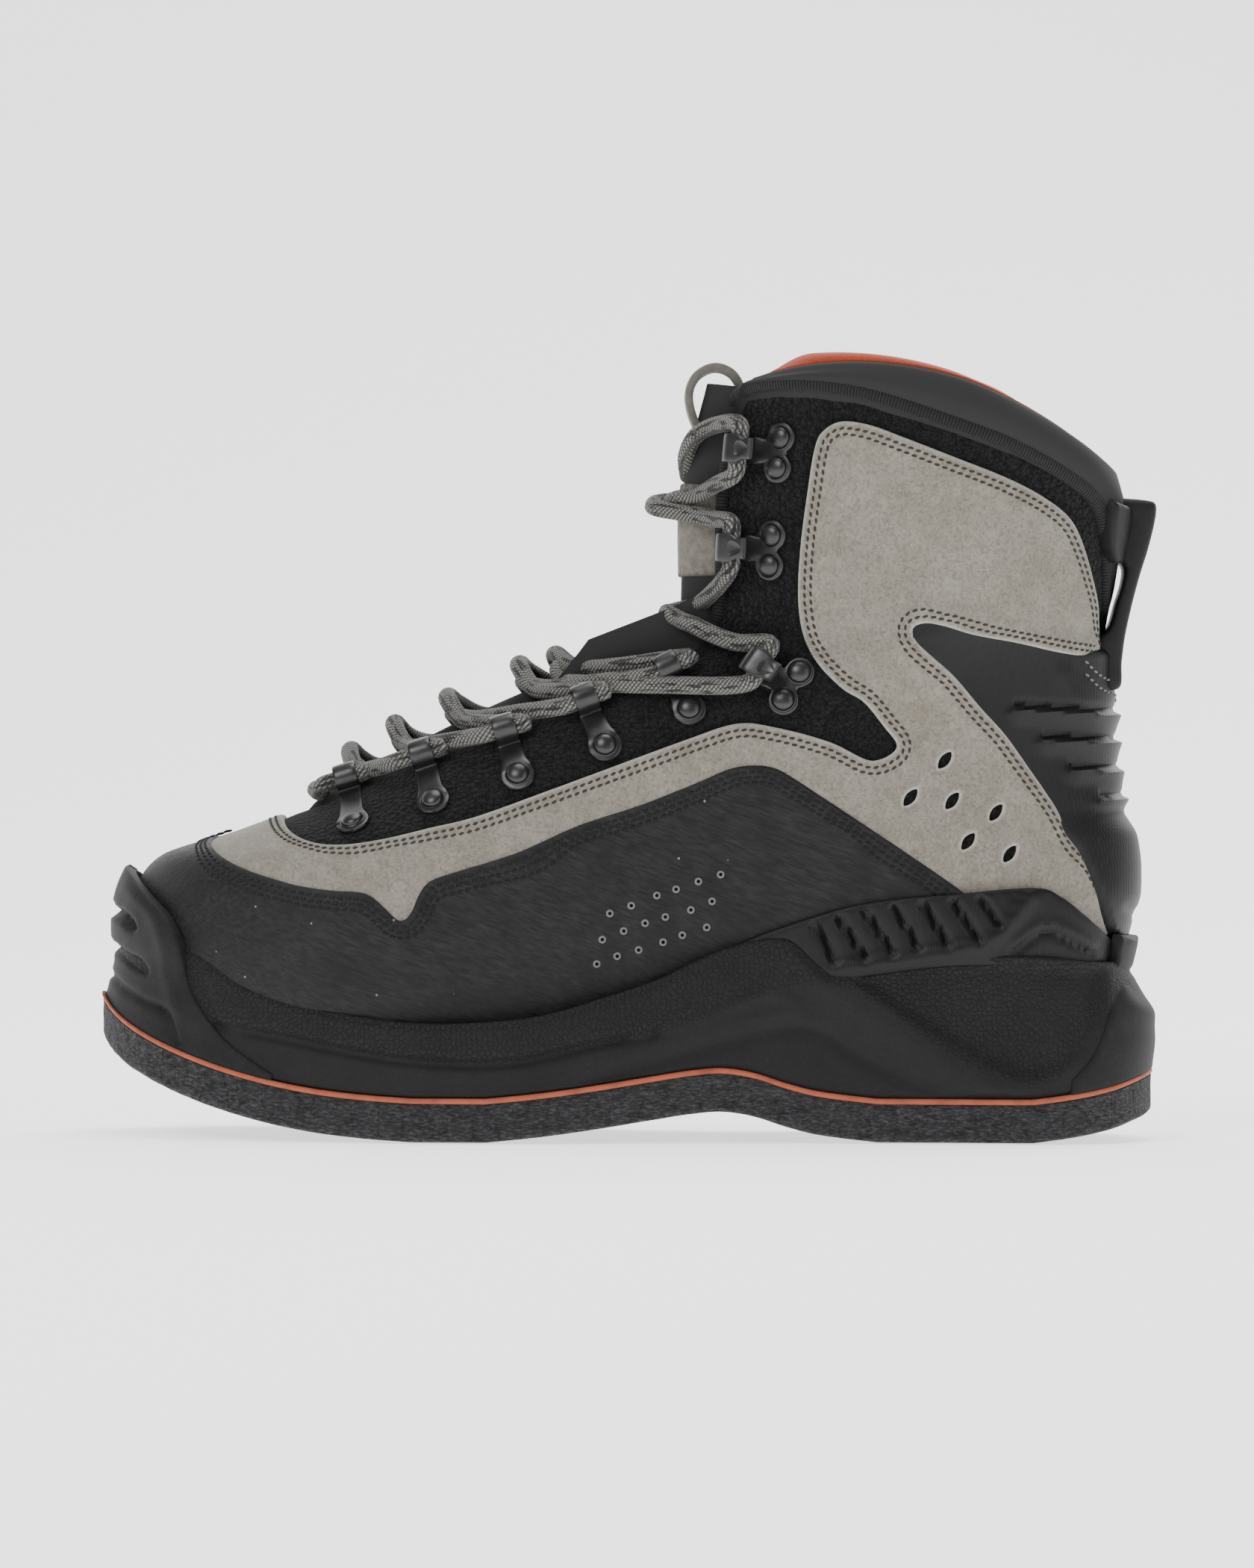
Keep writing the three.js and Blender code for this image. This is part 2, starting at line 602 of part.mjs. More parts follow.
// Places a shape drawn in a plane (u along the first axis, v along the surface normal) on
// the upper, extruded to both sides of the plane by half the width.
function standing(shape, width, { point, normal }, towards, lift) {
  const geometry = new THREE.ExtrudeGeometry(shape, { depth: width, bevelEnabled: false, curveSegments: 3 });
  geometry.translate(0, 0, -width / 2);
  const u = towards.clone().sub(point);
  u.addScaledVector(normal, -u.dot(normal)).normalize();
  const across = u.clone().cross(normal);
  const basis = new THREE.Matrix4().makeBasis(u, normal, across);
  basis.setPosition(point.clone().addScaledVector(normal, lift));
  geometry.applyMatrix4(basis);
  return solidOf(geometry);
}

// A low domed rivet on the upper's normal at a place.
function rivet({ point, normal }, lift) {
  const profile = [[0, 0], [rivetRadius, 0], [0.8 * rivetRadius, 0.75 * rivetHeight], [0, rivetHeight]];
  const geometry = new THREE.LatheGeometry(profile.map(([r, h]) => new THREE.Vector2(r, h)), rivetSides);
  const turn = new THREE.Quaternion().setFromUnitVectors(new THREE.Vector3(0, 1, 0), normal);
  geometry.applyQuaternion(turn);
  geometry.translate(...point.clone().addScaledVector(normal, lift).toArray());
  return solidOf(geometry);
}

// Rivet places of the five loops on the outer side, and of the folded loop above each.
const loopPlaces = table('along up loopAlong loopUp', [
  [0.244, 0.398, 0.236, 0.438],
  [0.319, 0.428, 0.309, 0.471],
  [0.398, 0.461, 0.385, 0.506],
  [0.479, 0.500, 0.461, 0.546],
  [0.558, 0.548, 0.538, 0.590],
]);
// The upper's flat facets lie up to this much inside the smooth surface that carries the trim
const facetDepth = 0.2;
const trimLift = fitGap + facetDepth;
const loopInner = laceDiameter / 2 + eyeletRoom;
const loopOuter = loopInner + eyeletSheet;
// How far a fold's free end runs back, as a multiple of the fold's own radius
const foldReach = 1.6;

// A strap loop: a riveted foot whose upper end is folded into a tube for the lace.
function loopEyelet(place, side) {
  const foot = placeOn(place.along, place.up, side);
  const head = placeOn(place.loopAlong, place.loopUp, side);
  const reach = foot.point.distanceTo(head.point);
  const shape = new THREE.Shape();
  shape.moveTo(-rivetRadius - plateMargin, 0);
  shape.lineTo(reach, 0);
  shape.absarc(reach, loopOuter, loopOuter, -Math.PI / 2, Math.PI * 0.9, false);
  shape.lineTo(reach - foldReach * loopOuter, 1.3 * eyeletSheet);
  shape.lineTo(-rivetRadius - plateMargin, eyeletSheet);
  const hole = new THREE.Path();
  hole.absarc(reach, loopOuter, loopInner, 0, Math.PI * 2, true);
  shape.holes.push(hole);
  const strap = standing(shape, eyeletWidth, foot, head.point, trimLift);
  return strap.add(rivet(foot, trimLift + eyeletSheet / 2));
}

// Middle of the lace where it runs through a strap loop.
function loopCentre(place, side) {
  const foot = placeOn(place.along, place.up, side);
  const head = placeOn(place.loopAlong, place.loopUp, side);
  const reach = foot.point.distanceTo(head.point);
  const u = head.point.clone().sub(foot.point);
  u.addScaledVector(foot.normal, -u.dot(foot.normal)).normalize();
  const across = u.clone().cross(foot.normal).multiplyScalar(-side);
  const centre = foot.point.clone().addScaledVector(u, reach);
  centre.addScaledVector(foot.normal, trimLift + loopOuter);
  return { centre, along: across };
}

// Hooks: two rivets each and the nose of the hook towards the throat.
const hookPlaces = table('along up lowAlong lowUp noseAlong noseUp', [
  [0.659, 0.600, 0.645, 0.564, 0.624, 0.605],
  [0.637, 0.777, 0.635, 0.737, 0.610, 0.764],
  [0.646, 0.902, 0.642, 0.862, 0.617, 0.886],
]);

function speedHook(place, side) {
  const high = placeOn(place.along, place.up, side);
  const low = placeOn(place.lowAlong, place.lowUp, side);
  const middle = placeOn((place.along + place.lowAlong) / 2, (place.up + place.lowUp) / 2, side);
  const nose = placeOn(place.noseAlong, place.noseUp, side);
  const reach = middle.point.distanceTo(nose.point);
  const room = laceDiameter / 2 + eyeletRoom;
  const shape = new THREE.Shape();
  shape.moveTo(-rivetRadius, 0);
  shape.lineTo(reach, 0);
  shape.absarc(reach, hookRise / 2, hookRise / 2, -Math.PI / 2, Math.PI / 2, false);
  shape.lineTo(reach - foldReach * room, hookRise + eyeletSheet / 2);
  shape.lineTo(reach - foldReach * room, hookRise - eyeletSheet / 2);
  shape.lineTo(reach, hookRise - eyeletSheet);
  shape.absarc(reach, hookRise / 2, hookRise / 2 - eyeletSheet, Math.PI / 2, -Math.PI / 2, true);
  shape.lineTo(-rivetRadius, eyeletSheet);
  const strap = standing(shape, hookWidth, middle, nose.point, trimLift);
  const plate = new THREE.Shape();
  const span = high.point.distanceTo(low.point) / 2 + rivetRadius + plateMargin;
  plate.moveTo(-span, 0);
  plate.lineTo(span, 0);
  plate.lineTo(span, eyeletSheet);
  plate.lineTo(-span, eyeletSheet);
  const base = standing(plate, 2 * (rivetRadius + plateMargin), middle, high.point, trimLift);
  return [high, low].reduce((body, at) => body.add(rivet(at, trimLift + eyeletSheet / 2)), strap.add(base));
}

function hookCentre(place, side) {
  const middle = placeOn((place.along + place.lowAlong) / 2, (place.up + place.lowUp) / 2, side);
  const nose = placeOn(place.noseAlong, place.noseUp, side);
  const reach = middle.point.distanceTo(nose.point);
  const u = nose.point.clone().sub(middle.point);
  u.addScaledVector(middle.normal, -u.dot(middle.normal)).normalize();
  const across = u.clone().cross(middle.normal).multiplyScalar(-side);
  const centre = middle.point.clone().addScaledVector(u, reach);
  centre.addScaledVector(middle.normal, trimLift + hookRise / 2);
  return { centre, along: across };
}

// Points spread over the front half of the upper's surface, each with its normal.
function surfaceSamples() {
  const samples = [];
  const turns = 48;
  for (let level = 0.5; level < upperTop; level += 0.125) {
    const ring = upperRingAt(level);
    const above = upperRingAt(level + 0.05);
    for (const side of [-1, 1]) {
      for (let i = 0; i <= turns; i += 1) {
        const t = (1 - Math.cos((Math.PI * 0.7 * i) / turns)) / 2;
        const point = upperPoint(level, t, side, ring);
        const forward = upperPoint(level, t + 0.004, side, ring).sub(point);
        const upward = upperPoint(level, t, side, above).sub(point);
        samples.push({ point, normal: forward.cross(upward).normalize().multiplyScalar(-side) });
      }
    }
  }
  return samples;
}

const samples = surfaceSamples();

// Moves a point along the nearest surface normal until it stands off by a distance.
function standOff(point, distance) {
  const nearest = samples.reduce((best, sample) => {
    return sample.point.distanceToSquared(point) < best.point.distanceToSquared(point) ? sample : best;
  });
  const height = point.clone().sub(nearest.point).dot(nearest.normal);
  return point.clone().addScaledVector(nearest.normal, distance - height);
}

// A round lace stretch along a smooth curve through the points.
function laceTube(points, steps) {
  const radius = laceDiameter / 2;
  const section = new THREE.Shape();
  section.absarc(0, 0, radius, 0, Math.PI * 2, false);
  const path = new THREE.CatmullRomCurve3(points);
  const options = { steps, extrudePath: path, bevelEnabled: false, curveSegments: 3 };
  return solidOf(new THREE.ExtrudeGeometry(section, options));
}

// Lace stations from the toe up: five loops, then three hooks, on each side.
function laceStations(side) {
  const loops = loopPlaces.map((place) => ({ ...loopCentre(place, side), half: eyeletWidth / 2 }));
  const hookHalf = hookWidth / 2 + 2 * laceClear;
  const hooks = hookPlaces.map((place) => ({ ...hookCentre(place, side), half: hookHalf }));
  return [...loops, ...hooks];
}

// Where the lace leaves a station, up the boot (1) or down it (-1), just clear of it.
function laceExit({ centre, along, half }, direction) {
  return centre.clone().addScaledVector(along, direction * (half + laceDiameter / 2 + laceClear));
}

// The lace from one point to another over the throat, standing off the upper by the
// tongue's rise and its own radius in the middle.
function laceStrand(start, end, extra) {
  const height = tongueRaise + fitGap + laceDiameter / 2 + extra;
  const middle = [0.25, 0.5, 0.75].map((share) => {
    const first = standOff(start.clone().lerp(end, share), height);
    return standOff(first, height);
  });
  return laceTube([start, ...middle, end], 5);
}

// How much higher than the tongue asks each crossing is carried, most at the ankle's bend,
// as shares of the lace's diameter.
const crossingLifts = [0.04, 0, 0, 0, 0.38, 0.23, 0];

// Two strands that cross over the tongue between one pair of stations and the next.
function laceCross(outer, inner, k) {
  const lift = fitGap + crossingLifts[k] * laceDiameter;
  const under = laceStrand(laceExit(outer[k], 1), laceExit(inner[k + 1], -1), lift);
  const over = laceStrand(laceExit(inner[k], 1), laceExit(outer[k + 1], -1), lift + laceDiameter / 2);
  return under.add(over);
}

// The strand over the throat's toe end, from the first loop to the one across.
function laceBar(outer, inner) {
  return laceStrand(laceExit(outer[0], -1), laceExit(inner[0], -1), fitGap);
}

// A leather strip doubled into a loop at the tongue's top, seen from the side as a ring.
const pullLoopOutline = table('along up', [
  [0.576, 0.905], [0.560, 0.935], [0.557, 0.970], [0.567, 0.994], [0.585, 0.998], [0.600, 0.985],
  [0.605, 0.955],
]);

function tonguePullLoop() {
  const centres = pullLoopOutline.map(({ along, up }) => [lengthAt(along), heightAt(up)]);
  const line = new THREE.SplineCurve(centres.map(([x, z]) => new THREE.Vector2(x, z))).getPoints(14);
  const side = (distance) => line.map((p, i) => {
    const before = line[Math.max(i - 1, 0)];
    const after = line[Math.min(i + 1, line.length - 1)];
    const direction = after.clone().sub(before).normalize();
    return [shareOf(p.x + direction.y * distance), (p.y - direction.x * distance) / bootHeight];
  });
  const ribbon = [...side(pullLoopSheet / 2), ...side(-pullLoopSheet / 2).reverse()];
  const strip = sidePrism(ribbon, -pullLoopWidth / 2, pullLoopWidth / 2);
  return strip.subtract(upperForm(tongueRaise + fitGap));
}

// The moulded tab at the heel: a block on the collar, a strap down to the counter.
const tabOutline = [[0.935, 0.828], [1.000, 0.823], [0.997, 0.790], [0.992, 0.763], [0.985, 0.732],
  [0.977, 0.685], [0.971, 0.651], [0.968, 0.618], [0.966, 0.598], [0.940, 0.598], [0.940, 0.650],
  [0.956, 0.664], [0.963, 0.696], [0.968, 0.718], [0.971, 0.745], [0.956, 0.756], [0.935, 0.763]];

function heelPullTab() {
  const body = sidePrism(tabOutline, -heelTabWidth / 2, heelTabWidth / 2);
  const carrier = upperForm(counterThickness + 2 * fitGap).intersect(sidePrism(grown(counter, fitGap)));
  return body.subtract(upperForm(collarRoll + fitGap)).subtract(carrier);
}

// Finishes

const finish = (color, roughness, metalness = 0) => ({ color, roughness, metalness });
const finishes = {
  felt: finish(0x3a3a3c, 0.95),
  foxing: finish(0xb85a42, 0.7),
  foam: finish(0x1d1e20, 0.7),
  rubber: finish(0x232426, 0.65),
  mesh: finish(0x17181a, 0.9),
  leather: finish(0x8b887f, 0.85),
  moulded: finish(0x1b1c1e, 0.55),
  padding: finish(0x151617, 0.95),
  metal: finish(0x1a1b1d, 0.35, 0.8),
  lace: finish(0x6e6f6c, 0.85),
};

const boot = new THREE.Group();

function addPart(name, solid, finishName) {
  const mesh = new THREE.Mesh(geometryOf(solid), new THREE.MeshStandardMaterial(finishes[finishName]));
  mesh.name = name;
  boot.add(mesh);
}

addPart('felt_outsole', soleLayer(0, feltThickness, 0), 'felt');
addPart('foxing_strip', soleLayer(foxingBase, foxingBase + foxingThickness, 0), 'foxing');
addPart('midsole', midsole(), 'foam');
addPart('toe_bumper', toeBumper(), 'rubber');
addPart('heel_cradle', heelCradle(), 'rubber');
addPart('upper', upperShell(), 'mesh');
addPart('rand', randBand(), 'rubber');
addPart('leather_quarter_lateral', overlay(leather, leatherThickness, -sideReach, -fitGap / 2), 'leather');
addPart('leather_quarter_medial', overlay(leather, leatherThickness, fitGap / 2, sideReach), 'leather');
addPart('heel_counter', heelCounter(), 'moulded');
addPart('stabiliser_lateral', stabiliserWing(-1), 'moulded');
addPart('stabiliser_medial', stabiliserWing(1), 'moulded');
addPart('collar_padding', collarPadding(), 'padding');
addPart('tongue', tongue(), 'padding');
addPart('tongue_pull_loop', tonguePullLoop(), 'leather');
addPart('insole', insole(), 'padding');
addPart('heel_pull_tab', heelPullTab(), 'moulded');

const sides = [['lateral', -1], ['medial', 1]];
for (const [sideName, side] of sides) {
  loopPlaces.forEach((place, i) => addPart(`eyelet_${sideName}_${i + 1}`, loopEyelet(place, side), 'metal'));
  hookPlaces.forEach((place, i) => addPart(`hook_${sideName}_${i + 1}`, speedHook(place, side), 'metal'));
}

const outerStations = laceStations(-1);
const innerStations = laceStations(1);
addPart('lace_bar', laceBar(outerStations, innerStations), 'lace');
for (let k = 0; k + 1 < outerStations.length; k += 1) {
  addPart(`lace_cross_${k + 1}`, laceCross(outerStations, innerStations, k), 'lace');
}

export default boot;
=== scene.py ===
import logging
import math
from dataclasses import dataclass, field
from enum import Enum
from typing import Callable, Sequence

import bmesh
import bpy
import numpy as np
from mathutils import Matrix, Vector, noise
from mathutils.geometry import delaunay_2d_cdt
from mathutils.kdtree import KDTree


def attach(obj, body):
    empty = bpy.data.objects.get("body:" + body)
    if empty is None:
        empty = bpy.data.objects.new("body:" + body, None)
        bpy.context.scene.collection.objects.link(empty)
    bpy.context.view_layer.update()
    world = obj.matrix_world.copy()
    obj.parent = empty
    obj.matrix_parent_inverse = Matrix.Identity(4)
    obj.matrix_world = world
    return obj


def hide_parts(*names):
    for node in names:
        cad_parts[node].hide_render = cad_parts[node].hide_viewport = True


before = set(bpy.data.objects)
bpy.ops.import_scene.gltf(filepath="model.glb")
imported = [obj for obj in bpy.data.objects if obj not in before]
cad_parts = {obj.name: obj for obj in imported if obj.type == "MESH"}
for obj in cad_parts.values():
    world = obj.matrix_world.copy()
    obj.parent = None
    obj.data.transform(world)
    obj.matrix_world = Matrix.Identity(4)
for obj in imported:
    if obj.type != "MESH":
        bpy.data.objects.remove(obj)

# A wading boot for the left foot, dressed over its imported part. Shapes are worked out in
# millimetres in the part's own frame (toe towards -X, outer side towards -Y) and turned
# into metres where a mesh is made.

Array = np.ndarray
Shares = Sequence[tuple[float, float]]
log = logging.getLogger("boot")
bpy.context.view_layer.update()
MM = 0.001


# Sizes

@dataclass(frozen=True)
class BootSizes:
    """Overall sizes of the boot in millimetres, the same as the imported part's."""

    length: float = 315.0
    height: float = 230.0
    ball: float = 114.0
    heel_back: float = 48.0
    felt: float = 11.2
    foxing: float = 1.7
    toe_spring: float = 29.6
    arch_rise: float = 8.9
    heel_bevel: float = 8.4
    toe_stand_in: float = 5.0
    heel_stand_in: float = 8.0
    side_stand_in: float = 2.6
    wall: float = 2.4
    medial_rise: float = 6.0
    throat: float = 15.0
    lace: float = 5.2


SIZES = BootSizes()
# Place of the toe's tip along the boot, and what shares of length and height are taken of
TOE = SIZES.heel_back - SIZES.length
VIEW = (SIZES.length, SIZES.height)
# How far a panel's sheet mark runs for one unit of its two coordinates
SHEET_SCALE = (100.0, 15.0)
SIDE_NAMES = {-1: "lateral", 1: "medial"}
TOE_RISE = ((0, 1), (.014, .84), (.03, .71), (.06, .54), (.1, .37), (.15, .21), (.2, .1), (.25, .035), (.3, 0))
ARCH_LIFT = ((.37, 0), (.42, .18), (.47, .42), (.52, .7), (.56, .92), (.59, 1), (.62, .84), (.65, .5),
             (.68, .24), (.735, 0))
HEEL_LIFT = ((.88, 0), (.92, .2), (.955, .46), (.98, .76), (.995, .96), (1, 1))
STACK = ((0, 21), (.14, 22.2), (.3, 23), (.5, 24), (.8, 36), (1, 36))
SOLE_WIDTHS = ((0, .44), (.14, .455), (.24, .485), (.32, .5), (.42, .47), (.53, .395), (.64, .36), (.74, .362),
               (.87, .378), (1, .37))
SOLE_SWING = ((0, .085), (.12, .045), (.3, 0), (.5, -.03), (.64, -.026), (.8, -.005), (1, 0))
MIDSOLE_EDGE = ((0, .236), (.09, .232), (.114, .219), (.138, .2), (.168, .183), (.198, .17), (.243, .156),
                (.3, .146), (.365, .147), (.425, .157), (.484, .181), (.529, .202), (.559, .222), (.589, .24),
                (.63, .254), (.655, .25), (.69, .213), (.738, .221), (.798, .23), (.858, .234), (.903, .231),
                (.933, .226), (1, .226))
# Rings of the upper from the footbed to the collar, with the columns front along, front up,
# back along, back up, fore, middle and rear half width, nose, tail, dip, crown and swing
RINGS = np.array((
    (.050, .168, .940, .156, .415, .295, .290, .24, .16, 1, 0, .075),
    (.036, .235, .952, .215, .445, .312, .315, .24, .17, .7, 0, .072),
    (.036, .300, .960, .300, .448, .320, .321, .24, .17, .4, 0, .068),
    (.056, .347, .957, .378, .428, .316, .311, .26, .20, .1, 0, .062),
    (.100, .371, .949, .430, .395, .312, .303, .27, .22, 0, 0, .055),
    (.180, .412, .944, .495, .360, .304, .297, .29, .26, 0, 0, .042),
    (.270, .472, .943, .552, .324, .300, .290, .29, .28, 0, 0, .030),
    (.370, .537, .943, .605, .284, .302, .286, .30, .31, 0, 0, .018),
    (.465, .590, .946, .652, .258, .308, .284, .33, .34, 0, 0, .006),
    (.535, .620, .950, .687, .262, .315, .285, .36, .36, 0, 0, 0),
    (.566, .652, .953, .716, .282, .323, .288, .40, .38, 0, .004, 0),
    (.576, .710, .957, .755, .299, .335, .295, .42, .40, 0, .014, 0),
    (.579, .835, .964, .812, .316, .354, .311, .44, .42, 0, .034, 0),
    (.599, .970, .961, .862, .330, .368, .322, .44, .42, 0, .062, 0),
))
RING_TOP = len(RINGS) - 1


# Curves

def smooth_at(points: Shares, x: Array) -> Array:
    """Height of a smooth curve, flat beyond both its ends.

    Args:
        points: places and heights in rising order of place.
        x: where the curve is read.

    Returns:
        The heights at x.
    """
    table = np.asarray(points, float)
    xs, ys = table[:, 0], table[:, 1]
    at = np.clip(np.asarray(x, float), xs[0], xs[-1])
    i = np.clip(np.searchsorted(xs, at, side="right") - 1, 0, len(xs) - 2)
    rise = np.append(ys[1:], ys[-1]) - np.append(ys[0], ys[:-1])
    slopes = rise / (np.append(xs[1:], xs[-1]) - np.append(xs[0], xs[:-1]))
    span = xs[i + 1] - xs[i]
    t = (at - xs[i]) / span
    near = (1 + 2 * t) * (1 - t) ** 2
    lift = t * (1 - t) ** 2 * slopes[i] - t * t * (1 - t) * slopes[i + 1]
    return ys[i] * near + ys[i + 1] * (1 - near) + lift * span


def ease(x: Array) -> Array:
    """A soft step from 0 to 1 as x goes from 0 to 1."""
    t = np.clip(x, 0, 1)
    return t * t * (3 - 2 * t)


def length_at(share: Array) -> Array:
    """Place along the boot of a share of its length."""
    return share * SIZES.length + TOE


def share_of(x: Array) -> Array:
    """Share of the boot's length at a place along it."""
    return (x - TOE) / SIZES.length


def end_rounding(t: Array, nose: Array, tail: Array, power: float) -> Array:
    """Share of a half width left near the two rounded ends of a plan outline.

    Args:
        t: place from 0 at the toe to 1 at the heel.
        nose: reach of the toe's rounding.
        tail: reach of the heel's rounding.
        power: how full the roundings are.

    Returns:
        A factor from 0 at the very ends to 1.
    """
    def one(u: Array, reach: Array) -> Array:
        """Rounding of one end."""
        return (1 - (1 - np.clip(u / reach, 0, 1)) ** power) ** (1 / power)

    return one(np.maximum(t, 0), nose) * one(np.maximum(1 - t, 0), tail)


def flowing(points: Sequence[Sequence[float]], step: float, closed: bool = False) -> Array:
    """A smooth line through points, with even steps.

    Args:
        points: the points, of any dimension.
        step: distance between the new points.
        closed: whether the line returns to its start.

    Returns:
        The new points.
    """
    p = np.asarray(points, float)
    n = len(p)
    spans = n if closed else n - 1
    t = np.linspace(0, 1, 24, endpoint=False)[:, None]
    pieces = []
    for i in range(spans):
        a, b, c, d = (p[j % n] if closed else p[min(max(j, 0), n - 1)] for j in (i - 1, i, i + 1, i + 2))
        pieces.append(.5 * (2 * b + (c - a) * t + (2 * a - 5 * b + 4 * c - d) * t ** 2
                            + (3 * b - a - 3 * c + d) * t ** 3))
    line = np.vstack(pieces + [p[:1] if closed else p[-1:]])
    return evened(line, line, step)[:-1] if closed else evened(line, line, step)


def run_of(points: Array) -> Array:
    """Distance run along a line at each of its points."""
    return np.concatenate(([0], np.cumsum(np.linalg.norm(np.diff(points, axis=0), axis=1))))


def ringed(line: Array) -> Array:
    """A closed line's points with the first one again at its end."""
    return np.vstack([line, line[:1]])


def settled(over: Callable[[Array], Array], low: Array, high: Array, rounds: int) -> tuple[Array, Array]:
    """Halves spans round the places where a test starts to hold.

    Args:
        over: tells for each value whether it lies past its place.
        low: values before the places.
        high: values past the places.
        rounds: how often the spans are halved.

    Returns:
        The low and high ends of the last spans.
    """
    for _ in range(rounds):
        middle = (low + high) / 2
        past = over(middle)
        high, low = np.where(past, middle, high), np.where(past, low, middle)
    return low, high


def evened(line: Array, measured: Array, step: float) -> Array:
    """Points along a line at even steps of another measure of it.

    Args:
        line: points of the line.
        measured: the same points where distance is measured.
        step: distance between the new points.

    Returns:
        The new points, with both ends kept.
    """
    run = run_of(measured)
    count = max(int(round(run[-1] / step)), 2)
    at = np.linspace(0, run[-1], count + 1)
    return np.stack([np.interp(at, run, column) for column in line.T], axis=1)


def to_segments(points: Array, line: Array, closed: bool = False) -> tuple[Array, Array]:
    """Distance of flat points to a line of few segments.

    Args:
        points: places (n, 2).
        line: the line's corners (m, 2).
        closed: whether the line returns to its start.

    Returns:
        The distance, and the height of each point above the line's nearest place.
    """
    ends = ringed(line) if closed else line
    best = np.full(len(points), np.inf)
    above = np.zeros(len(points))
    for a, b in zip(ends[:-1], ends[1:]):
        way = b - a
        t = np.clip(((points - a) @ way) / max(way @ way, 1e-9), 0, 1)
        gap = points - (a + t[:, None] * way)
        distance = np.hypot(gap[:, 0], gap[:, 1])
        nearer = distance < best
        best = np.where(nearer, distance, best)
        above = np.where(nearer, gap[:, 1], above)
    return best, above


def inside_of(points: Array, ring: Array) -> Array:
    """Whether each flat point lies within a closed outline."""
    found = np.zeros(len(points), bool)
    for (x0, y0), (x1, y1) in zip(ring, np.roll(ring, -1, axis=0)):
        if y0 != y1:
            crosses = (y0 > points[:, 1]) != (y1 > points[:, 1])
            found ^= crosses & (points[:, 0] < (x1 - x0) * (points[:, 1] - y0) / (y1 - y0) + x0)
    return found


def to_dense_line(points: Array, line: Array) -> Array:
    """Distance of each point in space to a densely drawn line."""
    tree = KDTree(len(line))
    for i, p in enumerate(line):
        tree.insert(p, i)
    tree.balance()
    near = np.array([tree.find(p)[1] for p in points])
    best = np.full(len(points), np.inf)
    for other in (np.maximum(near - 1, 0), np.minimum(near + 1, len(line) - 1)):
        a, way = line[near], line[other] - line[near]
        t = np.clip(np.sum((points - a) * way, 1) / np.maximum(np.sum(way * way, 1), 1e-9), 0, 1)
        best = np.minimum(best, np.linalg.norm(points - a - t[:, None] * way, axis=1))
    return best


def mottle(points: Array, size: float, seed: float = 0.0) -> Array:
    """Smooth noise from -1 to 1 at points in millimetres, with lumps of a size."""
    shift = Vector((seed, 1.7 * seed, -seed))
    return np.array([noise.noise(Vector(p) / size + shift) for p in points])


# Surfaces

class Form:
    """A smooth surface read by two coordinates, u round the boot and v up it."""

    reach = (.004, .02)
    scale = SHEET_SCALE

    def bare(self, u: Array, v: Array) -> Array:
        """Points of the surface."""
        raise NotImplementedError

    def frame(self, u: Array, v: Array) -> tuple[Array, Array, Array, Array]:
        """Points, their two slopes and the outward normals."""
        a, b = self.reach
        du = (self.bare(u + a, v) - self.bare(u - a, v)) / (2 * a)
        dv = (self.bare(u, v + b) - self.bare(u, v - b)) / (2 * b)
        normal = np.cross(dv, du)
        normal /= np.linalg.norm(normal, axis=1, keepdims=True) + 1e-12
        return self.bare(u, v), du, dv, normal

    def place(self, u: Array, v: Array, out: Array | float) -> Array:
        """Points at a distance outside the surface."""
        point, _, _, normal = self.frame(u, v)
        return point + normal * np.broadcast_to(out, len(point))[:, None]

    def march(self, at: Array, move: Array) -> Array:
        """Coordinates after moves along the surface.

        Args:
            at: coordinates (n, 2).
            move: moves in space (n, 3).

        Returns:
            The new coordinates (n, 2).
        """
        _, du, dv, _ = self.frame(*at.T)
        uu, uv, vv = (np.sum(a * b, 1) for a, b in ((du, du), (du, dv), (dv, dv)))
        mu, mv = np.sum(du * move, 1), np.sum(dv * move, 1)
        whole = np.maximum(uu * vv - uv * uv, 1e-6)
        return at + np.stack([(vv * mu - uv * mv) / whole, (uu * mv - uv * mu) / whole], 1)


